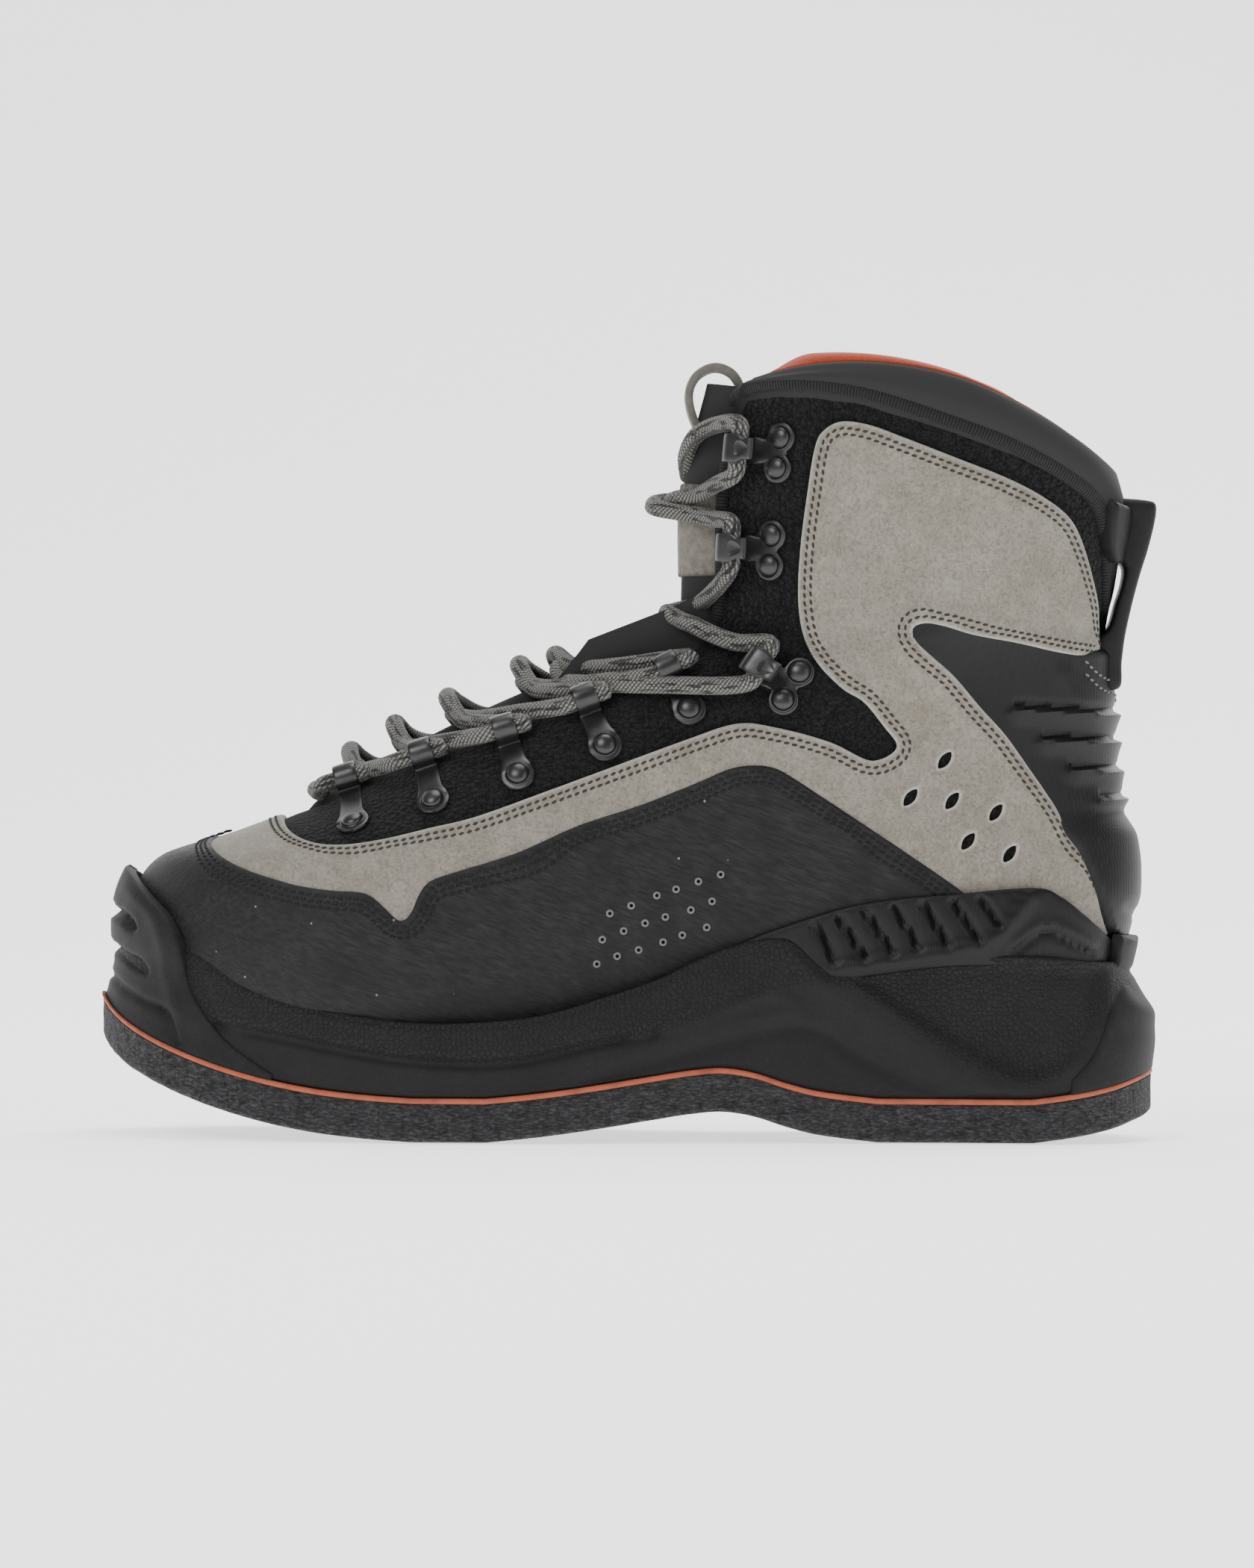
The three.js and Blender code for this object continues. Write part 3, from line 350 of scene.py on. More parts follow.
class Last(Form):
    """The upper's outer surface. u turns from the toe at 0 to the heel at pi, below 0 on the outer side."""

    def columns(self, level: Array) -> Array:
        """All ring columns at levels that may lie between two rings."""
        at = np.clip(level, 0, RING_TOP)
        i = np.minimum(at.astype(int), RING_TOP - 1)
        t = (at - i)[:, None]
        slopes = np.gradient(RINGS, axis=0)
        near = (1 + 2 * t) * (1 - t) ** 2
        lift = t * (1 - t) ** 2 * slopes[i] - t * t * (1 - t) * slopes[i + 1]
        return RINGS[i] * near + RINGS[i + 1] * (1 - near) + lift

    def bare(self, u: Array, v: Array) -> Array:
        """Points of the upper's outer surface."""
        c = self.columns(v).T
        t = (1 - np.cos(u)) / 2
        side = np.sign(np.sin(u))
        along = c[0] + (c[2] - c[0]) * t
        bed = SOLE.footbed(c[0]) * (1 - t) + SOLE.footbed(c[2]) * t
        z = SIZES.height * (c[1] + (c[3] - c[1]) * t + c[10] * 4 * t * (1 - t))
        z = z + c[9] * (SOLE.footbed(along) - bed)
        higher = ease(t / .2) * ease((1 - t) / .3) * ease((v - 10.5) / 2.5)
        z = z + SIZES.medial_rise * higher * np.clip(side, 0, 1)
        shares = (c[4] * smooth_at(((0, 1), (.28, 1), (.6, 0), (.85, 0), (1, 0)), t)
                  + c[5] * smooth_at(((0, 0), (.28, 0), (.6, 1), (.85, 0), (1, 0)), t)
                  + c[6] * smooth_at(((0, 0), (.28, 0), (.6, 0), (.85, 1), (1, 1)), t))
        half = SIZES.ball * shares * end_rounding(t, c[7], c[8], 2.2)
        return np.stack([length_at(along), SIZES.ball * c[11] * (1 - t) ** 3 + side * half, z], 1)

    def locate(self, along: Array, up: Array, side: int) -> Array:
        """Coordinates (n, 2) of places given in the side view, as shares of length and height."""
        along, up = np.atleast_1d(along).astype(float), np.atleast_1d(up).astype(float)

        def turned(level: Array) -> tuple[Array, Array]:
            """Turns of the places on rings, and which lie before a ring's front."""
            c = self.columns(level).T
            t = (along - c[0]) / (c[2] - c[0])
            return side * np.arccos(1 - 2 * np.clip(t, 0, 1)), t < 0

        def over(level: Array) -> Array:
            """Whether rings lie above the places."""
            turn, before = turned(level)
            return (self.bare(turn, level)[:, 2] > up * SIZES.height) | before

        low, _ = settled(over, np.zeros(len(along)), np.full(len(along), float(RING_TOP)), 24)
        return np.stack([turned(low)[0], low], 1)

    def line(self, shares: Shares, side: int, step: float = .9) -> Array:
        """A smooth side view line, in coordinates at even steps on the surface."""
        fine = flowing(np.asarray(shares) * VIEW, .8)
        at = self.locate(fine[:, 0] / SIZES.length, fine[:, 1] / SIZES.height, side)
        return evened(at, self.bare(*at.T), step)

    def throat(self, side: int, low: float, high: float, extra: float = 0.0) -> Array:
        """Coordinates of the throat's edge on one side, from one level up to another.

        Args:
            side: -1 for the outer side, 1 for the inner.
            low: level where the slot's rounded end starts.
            high: level where the line ends.
            extra: how much wider than the throat the line runs.

        Returns:
            Coordinates (n, 2).
        """
        level = low + (high - low) * np.linspace(0, 1, 80) ** 2
        nose = np.clip((level - low) / .9, 0, 1)
        half = (SIZES.throat + extra) * (1 - (1 - nose) ** 2.2) ** (1 / 2.2)
        middle = 2.3 * ease((9 - level) / 4)
        near, _ = settled(lambda turn: side * (self.bare(side * turn, level)[:, 1] - middle) > half,
                          np.zeros(80), np.full(80, 1.4), 24)
        at = np.stack([side * near * (nose > 0), level], 1)
        return evened(at, self.bare(*at.T), .9)


class Wall(Form):
    """The midsole's side wall. v rises from 0 at the foxing to 1 at the upper edge."""

    reach = (.004, .01)
    scale = (100.0, 30.0)

    def plan(self, u: Array, front: Array, back: Array, side: Array) -> tuple[Array, Array]:
        """Plan places on the sole's outline, stood in by distances at toe, heel and sides."""
        t = (1 - np.cos(u)) / 2
        x = length_at(0) + front + (SIZES.length - front - back) * t
        half = (SIZES.ball * smooth_at(SOLE_WIDTHS, t) - side) * end_rounding(t, .2, .13, 2.3)
        return x, SIZES.ball * smooth_at(SOLE_SWING, t) + np.sign(np.sin(u)) * half

    def stand_in(self, v: Array) -> tuple[Array, Array, Array]:
        """How far the wall stands in at toe, heel and sides at a share of its height."""
        return (SIZES.toe_stand_in * smooth_at(((0, .3), (.35, .6), (.75, .84), (1, 1)), v),
                SIZES.heel_stand_in * smooth_at(((0, .125), (.35, .025), (.75, .425), (1, 1)), v),
                SIZES.side_stand_in * smooth_at(((0, .38), (.35, .62), (.75, .73), (1, 1)), v))

    def bare(self, u: Array, v: Array) -> Array:
        """Points of the wall."""
        x, y = self.plan(u, *self.stand_in(v))
        share = share_of(x)
        return np.stack([x, y, SOLE.base(share) + (SOLE.edge(share) - SOLE.base(share)) * v], 1)

    def underside(self, share: Array) -> Array:
        """Height of the felt's underside above the floor."""
        return (SIZES.toe_spring * smooth_at(TOE_RISE, share) + SIZES.arch_rise * smooth_at(ARCH_LIFT, share)
                + SIZES.heel_bevel * smooth_at(HEEL_LIFT, share))

    def base(self, share: Array) -> Array:
        """Height of the foxing's upper edge."""
        return self.underside(share) + SIZES.felt + SIZES.foxing

    def edge(self, share: Array) -> Array:
        """Height of the midsole's upper edge."""
        return SIZES.height * smooth_at(MIDSOLE_EDGE, share)

    def footbed(self, share: Array) -> Array:
        """Height of the footbed."""
        return self.underside(share) + smooth_at(STACK, share)


class Hull(Form):
    """One skin over the sole's end and the upper above it. v is the share of the boot's height."""

    reach = (.004, .004)
    scale = (100.0, 230.0)

    def __init__(self, skins: Shares) -> None:
        """Takes the skin's distance outside the upper by u."""
        self.skins = skins

    def bare(self, u: Array, v: Array) -> Array:
        """Points of the skin."""
        height = v * SIZES.height
        low, high = settled(lambda level: LAST.bare(u, level)[:, 2] > height,
                            np.zeros(len(u)), np.full(len(u), float(RING_TOP)), 14)
        over = LAST.place(u, (low + high) / 2, smooth_at(self.skins, np.arccos(np.cos(u))))
        share = share_of(SOLE.bare(u, np.full(len(u), .5))[:, 0])
        rise = (height - SOLE.base(share)) / (SOLE.edge(share) - SOLE.base(share))
        under = SOLE.bare(u, np.clip(rise, -.2, 1))
        under[:, 2] = height
        mix = ease((rise - .55) / .75)[:, None]
        return under * (1 - mix) + over * mix

    def line(self, shares: Shares, side: int, step: float = .9) -> Array:
        """A smooth side view line, in coordinates at even steps on the surface."""
        fine = flowing(np.asarray(shares) * VIEW, .8)
        x, up = fine[:, 0] + TOE, fine[:, 1] / SIZES.height
        low, _ = settled(lambda turn: self.bare(side * turn, up)[:, 0] > x,
                         np.zeros(len(x)), np.full(len(x), math.pi), 16)
        at = np.stack([side * low, up], 1)
        return evened(at, self.bare(*at.T), step)


class Plane(Form):
    """A flat place in millimetres, with its own origin and axes."""

    reach = (1.0, 1.0)
    scale = (1.0, 1.0)

    def __init__(self, origin: Array, along: Array, out: Array) -> None:
        """Takes the origin, the first axis and the outward normal."""
        self.origin, self.out = np.asarray(origin, float), out / np.linalg.norm(out)
        flat = along - self.out * (along @ self.out)
        self.along = flat / np.linalg.norm(flat)
        self.across = np.cross(self.along, self.out)

    def bare(self, u: Array, v: Array) -> Array:
        """Points of the plane."""
        return self.origin + np.outer(u, self.along) + np.outer(v, self.across)

    def solid(self, points: Array) -> Array:
        """Points given along, out and across, in the boot's frame."""
        return self.origin + points @ np.stack([self.along, self.out, self.across])


SOLE = Wall()
LAST = Last()


# Meshes

@dataclass
class Stock:
    """Points and faces of a piece in millimetres, with numbers kept on its points."""

    points: Array
    faces: list[tuple[int, ...]]
    marks: dict[str, Array] = field(default_factory=dict)

    def joined(self, *others: "Stock") -> "Stock":
        """This stock and others as one."""
        made = self
        for other in others:
            shift = len(made.points)
            names = set(made.marks) | set(other.marks)
            marks = {n: np.concatenate([
                stock.marks.get(n, np.zeros((len(stock.points),) + next(
                    s.marks[n] for s in (made, other) if n in s.marks).shape[1:]))
                for stock in (made, other)]) for n in names}
            made = Stock(np.vstack([made.points, other.points]),
                         made.faces + [tuple(i + shift for i in f) for f in other.faces], marks)
        return made

    def mesh(self, name: str, crease: float = 50.0) -> bpy.types.Mesh:
        """The stock as a closed mesh in metres.

        Args:
            name: the mesh's name.
            crease: angle in degrees past which an edge stays sharp.

        Returns:
            The mesh, with outward faces.
        """
        mesh = bpy.data.meshes.new(name)
        mesh.from_pydata((self.points * MM).tolist(), [], self.faces)
        for mark, values in self.marks.items():
            kind, key = ("FLOAT", "value") if values.ndim == 1 else ("FLOAT_VECTOR", "vector")
            layer = mesh.attributes.new(mark, kind, "POINT")
            layer.data.foreach_set(key, values.astype(np.float32).ravel())
        work = bmesh.new()
        work.from_mesh(mesh)
        bmesh.ops.remove_doubles(work, verts=work.verts, dist=2e-6)
        bmesh.ops.dissolve_degenerate(work, edges=work.edges, dist=1e-7)
        bmesh.ops.recalc_face_normals(work, faces=work.faces)
        work.to_mesh(mesh)
        work.free()
        mesh.polygons.foreach_set("use_smooth", [True] * len(mesh.polygons))
        mesh.set_sharp_from_angle(angle=math.radians(crease))
        return mesh


def tube(rows: Array, marks: dict[str, Array] | None = None, strips: bool = False) -> Stock:
    """A closed skin over rings of equal point count, with both ends capped.

    Args:
        rows: rings (rows, count, 3).
        marks: numbers kept on the points (rows, count) or (rows, count, 3).
        strips: whether the caps are strips across a ring that starts on the middle line.

    Returns:
        The closed stock.
    """
    count, width = rows.shape[:2]
    i, j = np.meshgrid(np.arange(count - 1), np.arange(width), indexing="ij")
    k = (j + 1) % width
    quads = np.stack([i * width + j, i * width + k, (i + 1) * width + k, (i + 1) * width + j], -1)
    faces = [tuple(q) for q in quads.reshape(-1, 4).tolist()]
    for base in (0, (count - 1) * width):
        if strips:
            for a in range(width // 2):
                ring = (a, a + 1, (width - 1 - a) % width, (width - a) % width)
                faces.append(tuple(base + n for n in dict.fromkeys(ring)))
        else:
            faces.append(tuple(range(base, base + width)))
    flat = {n: m.reshape((-1,) + m.shape[2:]) for n, m in (marks or {}).items()}
    return Stock(rows.reshape(-1, 3), faces, flat)


def even_turns(form: Form, v: float, half: int) -> Array:
    """Turns right round a form with even steps at one height, starting at the toe."""
    fine = np.linspace(0, math.pi, 400)
    at = np.stack([fine, np.full(400, v)], 1)
    points = form.bare(*at.T)
    run = run_of(points)
    one = np.interp(np.linspace(0, run[-1], half + 1), run, fine)
    return np.concatenate([one, 2 * math.pi - one[1:-1][::-1]])


class Stroke(Enum):
    """How a carved line or outline changes a surface."""

    RIDGE = 1
    GROOVE = 2
    BLADE = 3
    POCKET = 4
    PLATE = 5


@dataclass(frozen=True)
class Carving:
    """One mark moulded into a surface, drawn in the side view as shares of length and height."""

    kind: Stroke
    line: Shares
    depth: float
    reach: float

    def offset(self, x: Array, z: Array) -> Array:
        """Outward move of the surface at places in millimetres."""
        closed = self.kind in (Stroke.POCKET, Stroke.PLATE)
        line = np.asarray(self.line, float) * VIEW
        line = flowing(line, 3, closed)
        at = np.stack([x - TOE, z], 1)
        gap, above = to_segments(at, line, closed)
        if closed:
            share = ease(np.where(inside_of(at, line), gap, 0) / self.reach)
            return share * (self.depth if self.kind is Stroke.PLATE else -self.depth)
        if self.kind is Stroke.BLADE:
            under = np.where(above <= 0, np.clip(1 - gap / self.reach, 0, 1) ** 1.3, np.clip(1 - gap / .9, 0, 1))
            return self.depth * under - .45 * self.depth * np.exp(-((above - 1.5) / 1.2) ** 2) * (
                np.abs(gap - np.abs(above)) < 1)
        hump = np.exp(-(gap / self.reach) ** 2) * self.depth
        return hump if self.kind is Stroke.RIDGE else -hump


def carved(carvings: Sequence[Carving], points: Array) -> Array:
    """Sum of the carvings at points in the boot's frame."""
    return sum((c.offset(points[:, 0], points[:, 2]) for c in carvings), np.zeros(len(points)))


@dataclass
class Panel:
    """A closed sheet of even thickness laid on a form within an outline.

    Args:
        form: the surface that it lies on.
        outline: closed outline in the form's coordinates.
        low: distance of its back outside the form.
        high: distance of its face outside the form.
        step: spacing of its points.
        rounding: radius of its edge.
        holes: outlines cut through it.
        seams: whether points at both ends of u are joined.
        relief: extra height of its face from points, coordinates and distances to the edge.
        both: whether the back's edge is rounded too.
    """

    form: Form
    outline: Array
    low: float
    high: float
    step: float = 1.8
    rounding: float = .9
    holes: Sequence[Array] = ()
    seams: bool = False
    relief: Callable[[Array, Array, Array], Array] | None = None
    both: bool = False

    def inset(self, line: Array, distance: float, closed: bool = True) -> Array:
        """The outline, or an open run of it, moved inwards over the surface."""
        point, _, _, normal = self.form.frame(*line.T)
        if closed:
            way = np.roll(point, -1, 0) - np.roll(point, 1, 0)
        else:
            way = np.gradient(point, axis=0)
        way /= np.linalg.norm(way, axis=1, keepdims=True) + 1e-9
        return self.form.march(line, np.cross(way, normal) * distance * self.turn())

    def turn(self) -> float:
        """1 where the outline runs anticlockwise in its coordinates, -1 otherwise."""
        x, y = self.outline.T
        return float(np.sign(np.sum(x * np.roll(y, -1) - y * np.roll(x, -1)))) or 1.0

    def stock(self) -> Stock:
        """The panel's points and faces."""
        scale = np.array(self.form.scale)
        rings = [self.outline, *self.holes]
        edge_points = [self.form.bare(*ring.T) for ring in rings]
        dense = np.vstack([evened(ringed(p), ringed(p), .4) for p in edge_points])
        if self.seams:
            flat = np.vstack([evened(ringed(r), ringed(p), .4) for r, p in zip(rings, edge_points)])
            dense = dense[np.abs(np.abs(flat[:, 0]) - math.pi) > 1e-4]
        # Points follow the edge at these shares of its rounding
        cuts = (.12, .45, 1.0)
        near = np.vstack([self.inset(self.outline, cut * self.rounding) for cut in cuts])
        low, high = self.outline.min(0) * scale, self.outline.max(0) * scale
        us = np.arange(low[0], high[0], self.step)
        vs = np.arange(low[1], high[1], self.step * .87)
        grid = np.stack(np.meshgrid(us, vs), -1)
        grid[1::2, :, 0] += self.step / 2
        grid = grid.reshape(-1, 2)
        grid = grid[inside_of(grid, self.outline * scale)] / scale
        gap = to_dense_line(self.form.bare(*grid.T), dense)
        grid = grid[gap > self.rounding + .5 * self.step]
        near = near[inside_of(near * scale, self.outline * scale)]
        gap = to_dense_line(self.form.bare(*near.T), dense)
        wanted = np.array(cuts)[np.argmin(np.abs(gap[:, None] - np.array(cuts) * self.rounding), 1)]
        near = near[np.abs(gap - wanted * self.rounding) < .08 * self.rounding + .02]
        loose = np.vstack([near, grid])
        for hole in self.holes:
            loose = loose[~inside_of(loose * scale, hole * scale)]
        fixed = np.vstack(rings)
        edges, start = [], 0
        for ring in rings:
            n = len(ring)
            edges += [(start + i, start + (i + 1) % n) for i in range(n)]
            start += n
        every = np.vstack([fixed, loose])
        verts, _, tris, origin, _, _ = delaunay_2d_cdt(
            [Vector(p) for p in (every * scale)], edges, [], 1, 1e-6)
        at = np.array([every[o[0]] if o else np.array(v) / scale for o, v in zip(origin, verts)])
        tris = np.array([t for t in tris if len(t) == 3])
        middle = at[tris].mean(1) * scale
        keep = inside_of(middle, self.outline * scale)
        for hole in self.holes:
            keep &= ~inside_of(middle, hole * scale)
        tris = tris[keep]
        used = np.unique(tris)
        again = np.full(len(at), -1)
        again[used] = np.arange(len(used))
        return self.sheet(at[used], again[tris], dense)

    def sheet(self, at: Array, tris: Array, dense: Array) -> Stock:
        """Closes triangles in the form's coordinates into a sheet with rounded edges."""
        point, _, _, normal = self.form.frame(*at.T)
        gap = to_dense_line(point, dense)
        radius = min(self.rounding, self.high - self.low)
        bend = np.clip(gap / self.rounding, 0, 1)
        drop = radius * (1 - np.sqrt(np.clip(1 - (1 - bend) ** 2, 0, 1)))
        extra = self.relief(point, at, gap) if self.relief else 0
        face = point + normal * (self.high - drop + extra)[:, None]
        back = point + normal * (self.low + (drop if self.both else 0 * drop))[:, None]
        n = len(at)
        count: dict[tuple[int, int], int] = {}
        for a, b, c in tris.tolist():
            for e in ((a, b), (b, c), (c, a)):
                key = (min(e), max(e))
                count[key] = count.get(key, 0) + 1
        rim = [e for e, times in count.items() if times == 1]
        if self.seams:
            at_seam = np.abs(np.abs(at[:, 0]) - math.pi) < 1e-6
            rim = [e for e in rim if not (at_seam[e[0]] and at_seam[e[1]])]
        faces = [tuple(t) for t in tris.tolist()] + [tuple(t[::-1]) for t in (tris + n).tolist()]
        faces += [(a, b, b + n, a + n) for a, b in rim]
        sheet = np.column_stack([at * SHEET_SCALE, 0 * gap])
        marks = {"edge_mm": np.tile(gap, 2), "sheet": np.tile(sheet, (2, 1))}
        return Stock(np.vstack([face, back]), faces, marks)

    def row(self, run: Array, distance: float, lift: float = 0.0) -> tuple[Array, Array]:
        """A sewn row's points and normals beside a run of the outline.

        Args:
            run: the run in the form's coordinates, in the outline's order.
            distance: how far inside the edge the row lies.
            lift: height of the row above the panel's face.

        Returns:
            Points and normals in the boot's frame.
        """
        at = self.inset(run, distance, closed=False)
        point, _, _, normal = self.form.frame(*at.T)
        extra = self.relief(point, at, np.full(len(at), distance)) if self.relief else 0
        return point + normal * np.broadcast_to(self.high + extra + lift, len(at))[:, None], normal


# Nodes

def linear(hex_colour: str) -> tuple[float, float, float, float]:
    """An sRGB hex colour as linear RGBA."""
    parts = [int(hex_colour[i:i + 2], 16) / 255 for i in (1, 3, 5)]
    return (*[c / 12.92 if c <= .04045 else ((c + .055) / 1.055) ** 2.4 for c in parts], 1.0)


def node(tree: bpy.types.NodeTree, kind: str, links: dict | None = None, **settings: object) -> bpy.types.Node:
    """Adds a node to a tree.

    Args:
        tree: the node tree.
        kind: the node's type name.
        links: by socket name or number, a constant or the output socket that feeds it.
        settings: the node's own properties.

    Returns:
        The new node.
    """
    made = tree.nodes.new(kind)
    for name, value in settings.items():
        setattr(made, name, value)
    for key, value in (links or {}).items():
        socket = made.inputs[key]
        if isinstance(value, bpy.types.NodeSocket):
            tree.links.new(value, socket)
        else:
            socket.default_value = value
    return made


class Pattern(Enum):
    """Kinds of surface grain."""

    NOISE = 1
    CELLS = 2
    CRACKS = 3
    RIBS = 4
    WEAVE = 5


class Space(Enum):
    """What a grain is drawn on."""

    SOLID = "solid"
    SHEET = "sheet"


@dataclass(frozen=True)
class Grain:
    """One pattern of a finish. Sizes are in millimetres."""

    pattern: Pattern
    size: float
    tint: str = "#000000"
    tone: float = 0.0
    relief: float = 0.0
    stretch: tuple[float, float, float] = (1.0, 1.0, 1.0)
    turn: tuple[float, float, float] = (0.0, 0.0, 0.0)
    span: tuple[float, float] = (.3, .7)
    space: Space = Space.SOLID
    mask: str = ""

    def height(self, tree: bpy.types.NodeTree) -> bpy.types.NodeSocket:
        """The pattern from 0 to 1 as an output socket."""
        if self.space is Space.SOLID:
            source, unit = node(tree, "ShaderNodeTexCoord").outputs["Object"], 1 / (self.size * MM)
        else:
            source = node(tree, "ShaderNodeAttribute", attribute_name="sheet").outputs["Vector"]
            unit = 1 / self.size
        turn = tuple(math.radians(a) for a in self.turn)
        turned = node(tree, "ShaderNodeMapping", {"Vector": source, "Rotation": turn})
        scale = tuple(unit * s for s in self.stretch)
        at = node(tree, "ShaderNodeMapping", {"Vector": turned.outputs[0], "Scale": scale}).outputs[0]
        if self.pattern is Pattern.NOISE:
            value = node(tree, "ShaderNodeTexNoise", {"Vector": at, "Scale": 1.0, "Detail": 3.0,
                                                      "Roughness": .6}).outputs[0]
        elif self.pattern in (Pattern.CELLS, Pattern.CRACKS):
            feature = "F1" if self.pattern is Pattern.CELLS else "DISTANCE_TO_EDGE"
            value = node(tree, "ShaderNodeTexVoronoi", {"Vector": at, "Scale": 1.0, "Randomness": .8},
                         feature=feature).outputs["Distance"]
        else:
            # A wave texture has a ridge each pi / 10 units, so 0.314 makes it one ridge a size
            waves = [node(tree, "ShaderNodeTexWave", {"Vector": at, "Scale": .314, "Distortion": .6,
                                                      "Detail": 1.0, "Detail Scale": 1.5},
                          bands_direction=way).outputs["Fac"]
                     for way in (("X",) if self.pattern is Pattern.RIBS else ("X", "Y"))]
            value = waves[0]
            if len(waves) == 2:
                value = node(tree, "ShaderNodeMath", {0: waves[0], 1: waves[1]},
                             operation="MULTIPLY").outputs[0]
        value = node(tree, "ShaderNodeMapRange", {"Value": value, "From Min": self.span[0],
                                                  "From Max": self.span[1]}).outputs[0]
        if self.mask:
            share = node(tree, "ShaderNodeAttribute", attribute_name=self.mask).outputs["Fac"]
            value = node(tree, "ShaderNodeMath", {0: value, 1: share}, operation="MULTIPLY").outputs[0]
        return value


@dataclass(frozen=True)
class Finish:
    """A material: its colour, gloss and grains."""

    title: str
    colour: str
    rough: float
    grains: tuple[Grain, ...] = ()
    metallic: float = 0.0
    specular: float = .5
    sheen: float = 0.0
    coat: float = 0.0
    fray: str = ""
    fray_reach: float = 1.1
    rough_span: float = 0.0
    glow: float = 0.0

    def material(self) -> bpy.types.Material:
        """The finish as a node material, made once."""
        if self.title in bpy.data.materials:
            return bpy.data.materials[self.title]
        made = bpy.data.materials.new(self.title)
        made.use_nodes = True
        tree = made.node_tree
        tree.nodes.clear()
        colour, bump, first = linear(self.colour), None, None
        for grain in self.grains:
            value = grain.height(tree)
            first = first or value
            if grain.tone:
                share = node(tree, "ShaderNodeMath", {0: value, 1: grain.tone}, operation="MULTIPLY")
                colour = node(tree, "ShaderNodeMix", {0: share.outputs[0], 6: colour, 7: linear(grain.tint)},
                              data_type="RGBA").outputs[2]
            if grain.relief:
                links = {"Height": value, "Distance": abs(grain.relief) * MM, "Strength": 1.0}
                if bump:
                    links["Normal"] = bump
                bump = node(tree, "ShaderNodeBump", links, invert=grain.relief < 0).outputs[0]
        if self.fray:
            edge = node(tree, "ShaderNodeAttribute", attribute_name="edge_mm").outputs["Fac"]
            fuzz = node(tree, "ShaderNodeTexNoise", {
                "Vector": node(tree, "ShaderNodeTexCoord").outputs["Object"], "Scale": 1 / (.7 * MM)})
            ragged = node(tree, "ShaderNodeMath", {0: fuzz.outputs[0], 1: .9, 2: edge}, operation="MULTIPLY_ADD")
            share = node(tree, "ShaderNodeMapRange", {
                "Value": ragged.outputs[0], "From Min": self.fray_reach + .45, "From Max": .35})
            colour = node(tree, "ShaderNodeMix", {0: share.outputs[0], 6: colour, 7: linear(self.fray)},
                          data_type="RGBA").outputs[2]
        links = {"Base Color": colour, "Roughness": self.rough, "Metallic": self.metallic,
                 "Specular IOR Level": self.specular, "Sheen Weight": self.sheen, "Coat Weight": self.coat,
                 "Sheen Roughness": .5, "Coat Roughness": .35,
                 "Emission Color": linear("#ffffff"), "Emission Strength": self.glow}
        if self.rough_span and first:
            links["Roughness"] = node(tree, "ShaderNodeMapRange", {
                "Value": first, "To Min": self.rough - self.rough_span,
                "To Max": self.rough + self.rough_span}).outputs[0]
        if bump:
            links["Normal"] = bump
        shader = node(tree, "ShaderNodeBsdfPrincipled", links)
        node(tree, "ShaderNodeOutputMaterial", {"Surface": shader.outputs[0]})
        return made


# Finishes

# Waxed nubuck: buffed hide with a dry, even nap, cloudy tones and pale raw edges
NUBUCK = Finish("waxed_nubuck", "#7d7970", .86, (
    Grain(Pattern.NOISE, 17, "#6f675a", .6, .05, span=(.38, .68)),
    Grain(Pattern.NOISE, 5, "#9b968a", .35, .03, span=(.45, .75)),
    Grain(Pattern.NOISE, 1.1, "#56524a", .55, .1, span=(.46, .66)),
    Grain(Pattern.NOISE, .45, "#aca79b", .35, .06, span=(.5, .7)),
), sheen=.2, specular=.2, fray="#a9a79f", rough_span=.05)
# Black suede-like nubuck strap of the pull loop and the tongue's patch
STRAP = Finish("strap_nubuck", "#77736a", .85, (
    Grain(Pattern.NOISE, 2.2, "#4b4843", .6, .12, span=(.35, .65)),
    Grain(Pattern.NOISE, .5, "#9a958a", .3, .08, span=(.5, .75)),
), sheen=.2, specular=.25, fray="#55524c")
# Rubberised rand: thin rubber film brushed over cloth, with fine slanting streaks
RAND = Finish("brushed_rubber_rand", "#151516", .62, (
    Grain(Pattern.NOISE, .8, "#2e2e2f", .8, .08, stretch=(.13, 1, 1), turn=(0, -20, 0), span=(.38, .72)),
    Grain(Pattern.NOISE, 9, "#0c0c0c", .45, span=(.35, .7)),
    Grain(Pattern.CELLS, 9, "#8f8e8a", .9, span=(.045, .02)),
), specular=.22, rough_span=.07)
# Coarse knitted mesh: matt yarn loops in rows with dark eyes between them
KNIT = Finish("coarse_knit_mesh", "#131314", .93, (
    Grain(Pattern.CELLS, 1.9, "#050505", .95, -.55, stretch=(1, 1, 1.25), span=(.25, .62)),
    Grain(Pattern.NOISE, .7, "#2e2e2f", .6, .25, span=(.45, .75)),
), specular=.15, sheen=.05)
# Spacer mesh of the padded collar: fine round eyes in staggered rows
SPACER = Finish("spacer_mesh", "#060607", .9, (
    Grain(Pattern.WEAVE, 1.9, "#1e1e1f", .9, .6, turn=(0, 0, 45), span=(.1, .7), space=Space.SHEET),
    Grain(Pattern.NOISE, .6, "#0a0a0a", .4, .08),
), specular=.12, sheen=.02)
# Grosgrain tape: fine cords across its width
BINDING = Finish("grosgrain_tape", "#222224", .8, (
    Grain(Pattern.RIBS, .95, "#060606", .8, .22, span=(.7, .2), space=Space.SHEET),
), specular=.2, sheen=.06)
# Brushed polyester lining, bright orange
LINING = Finish("orange_lining", "#b4482a", .85, (
    Grain(Pattern.NOISE, .6, "#7d2d18", .5, .12),
), sheen=.3, specular=.25)
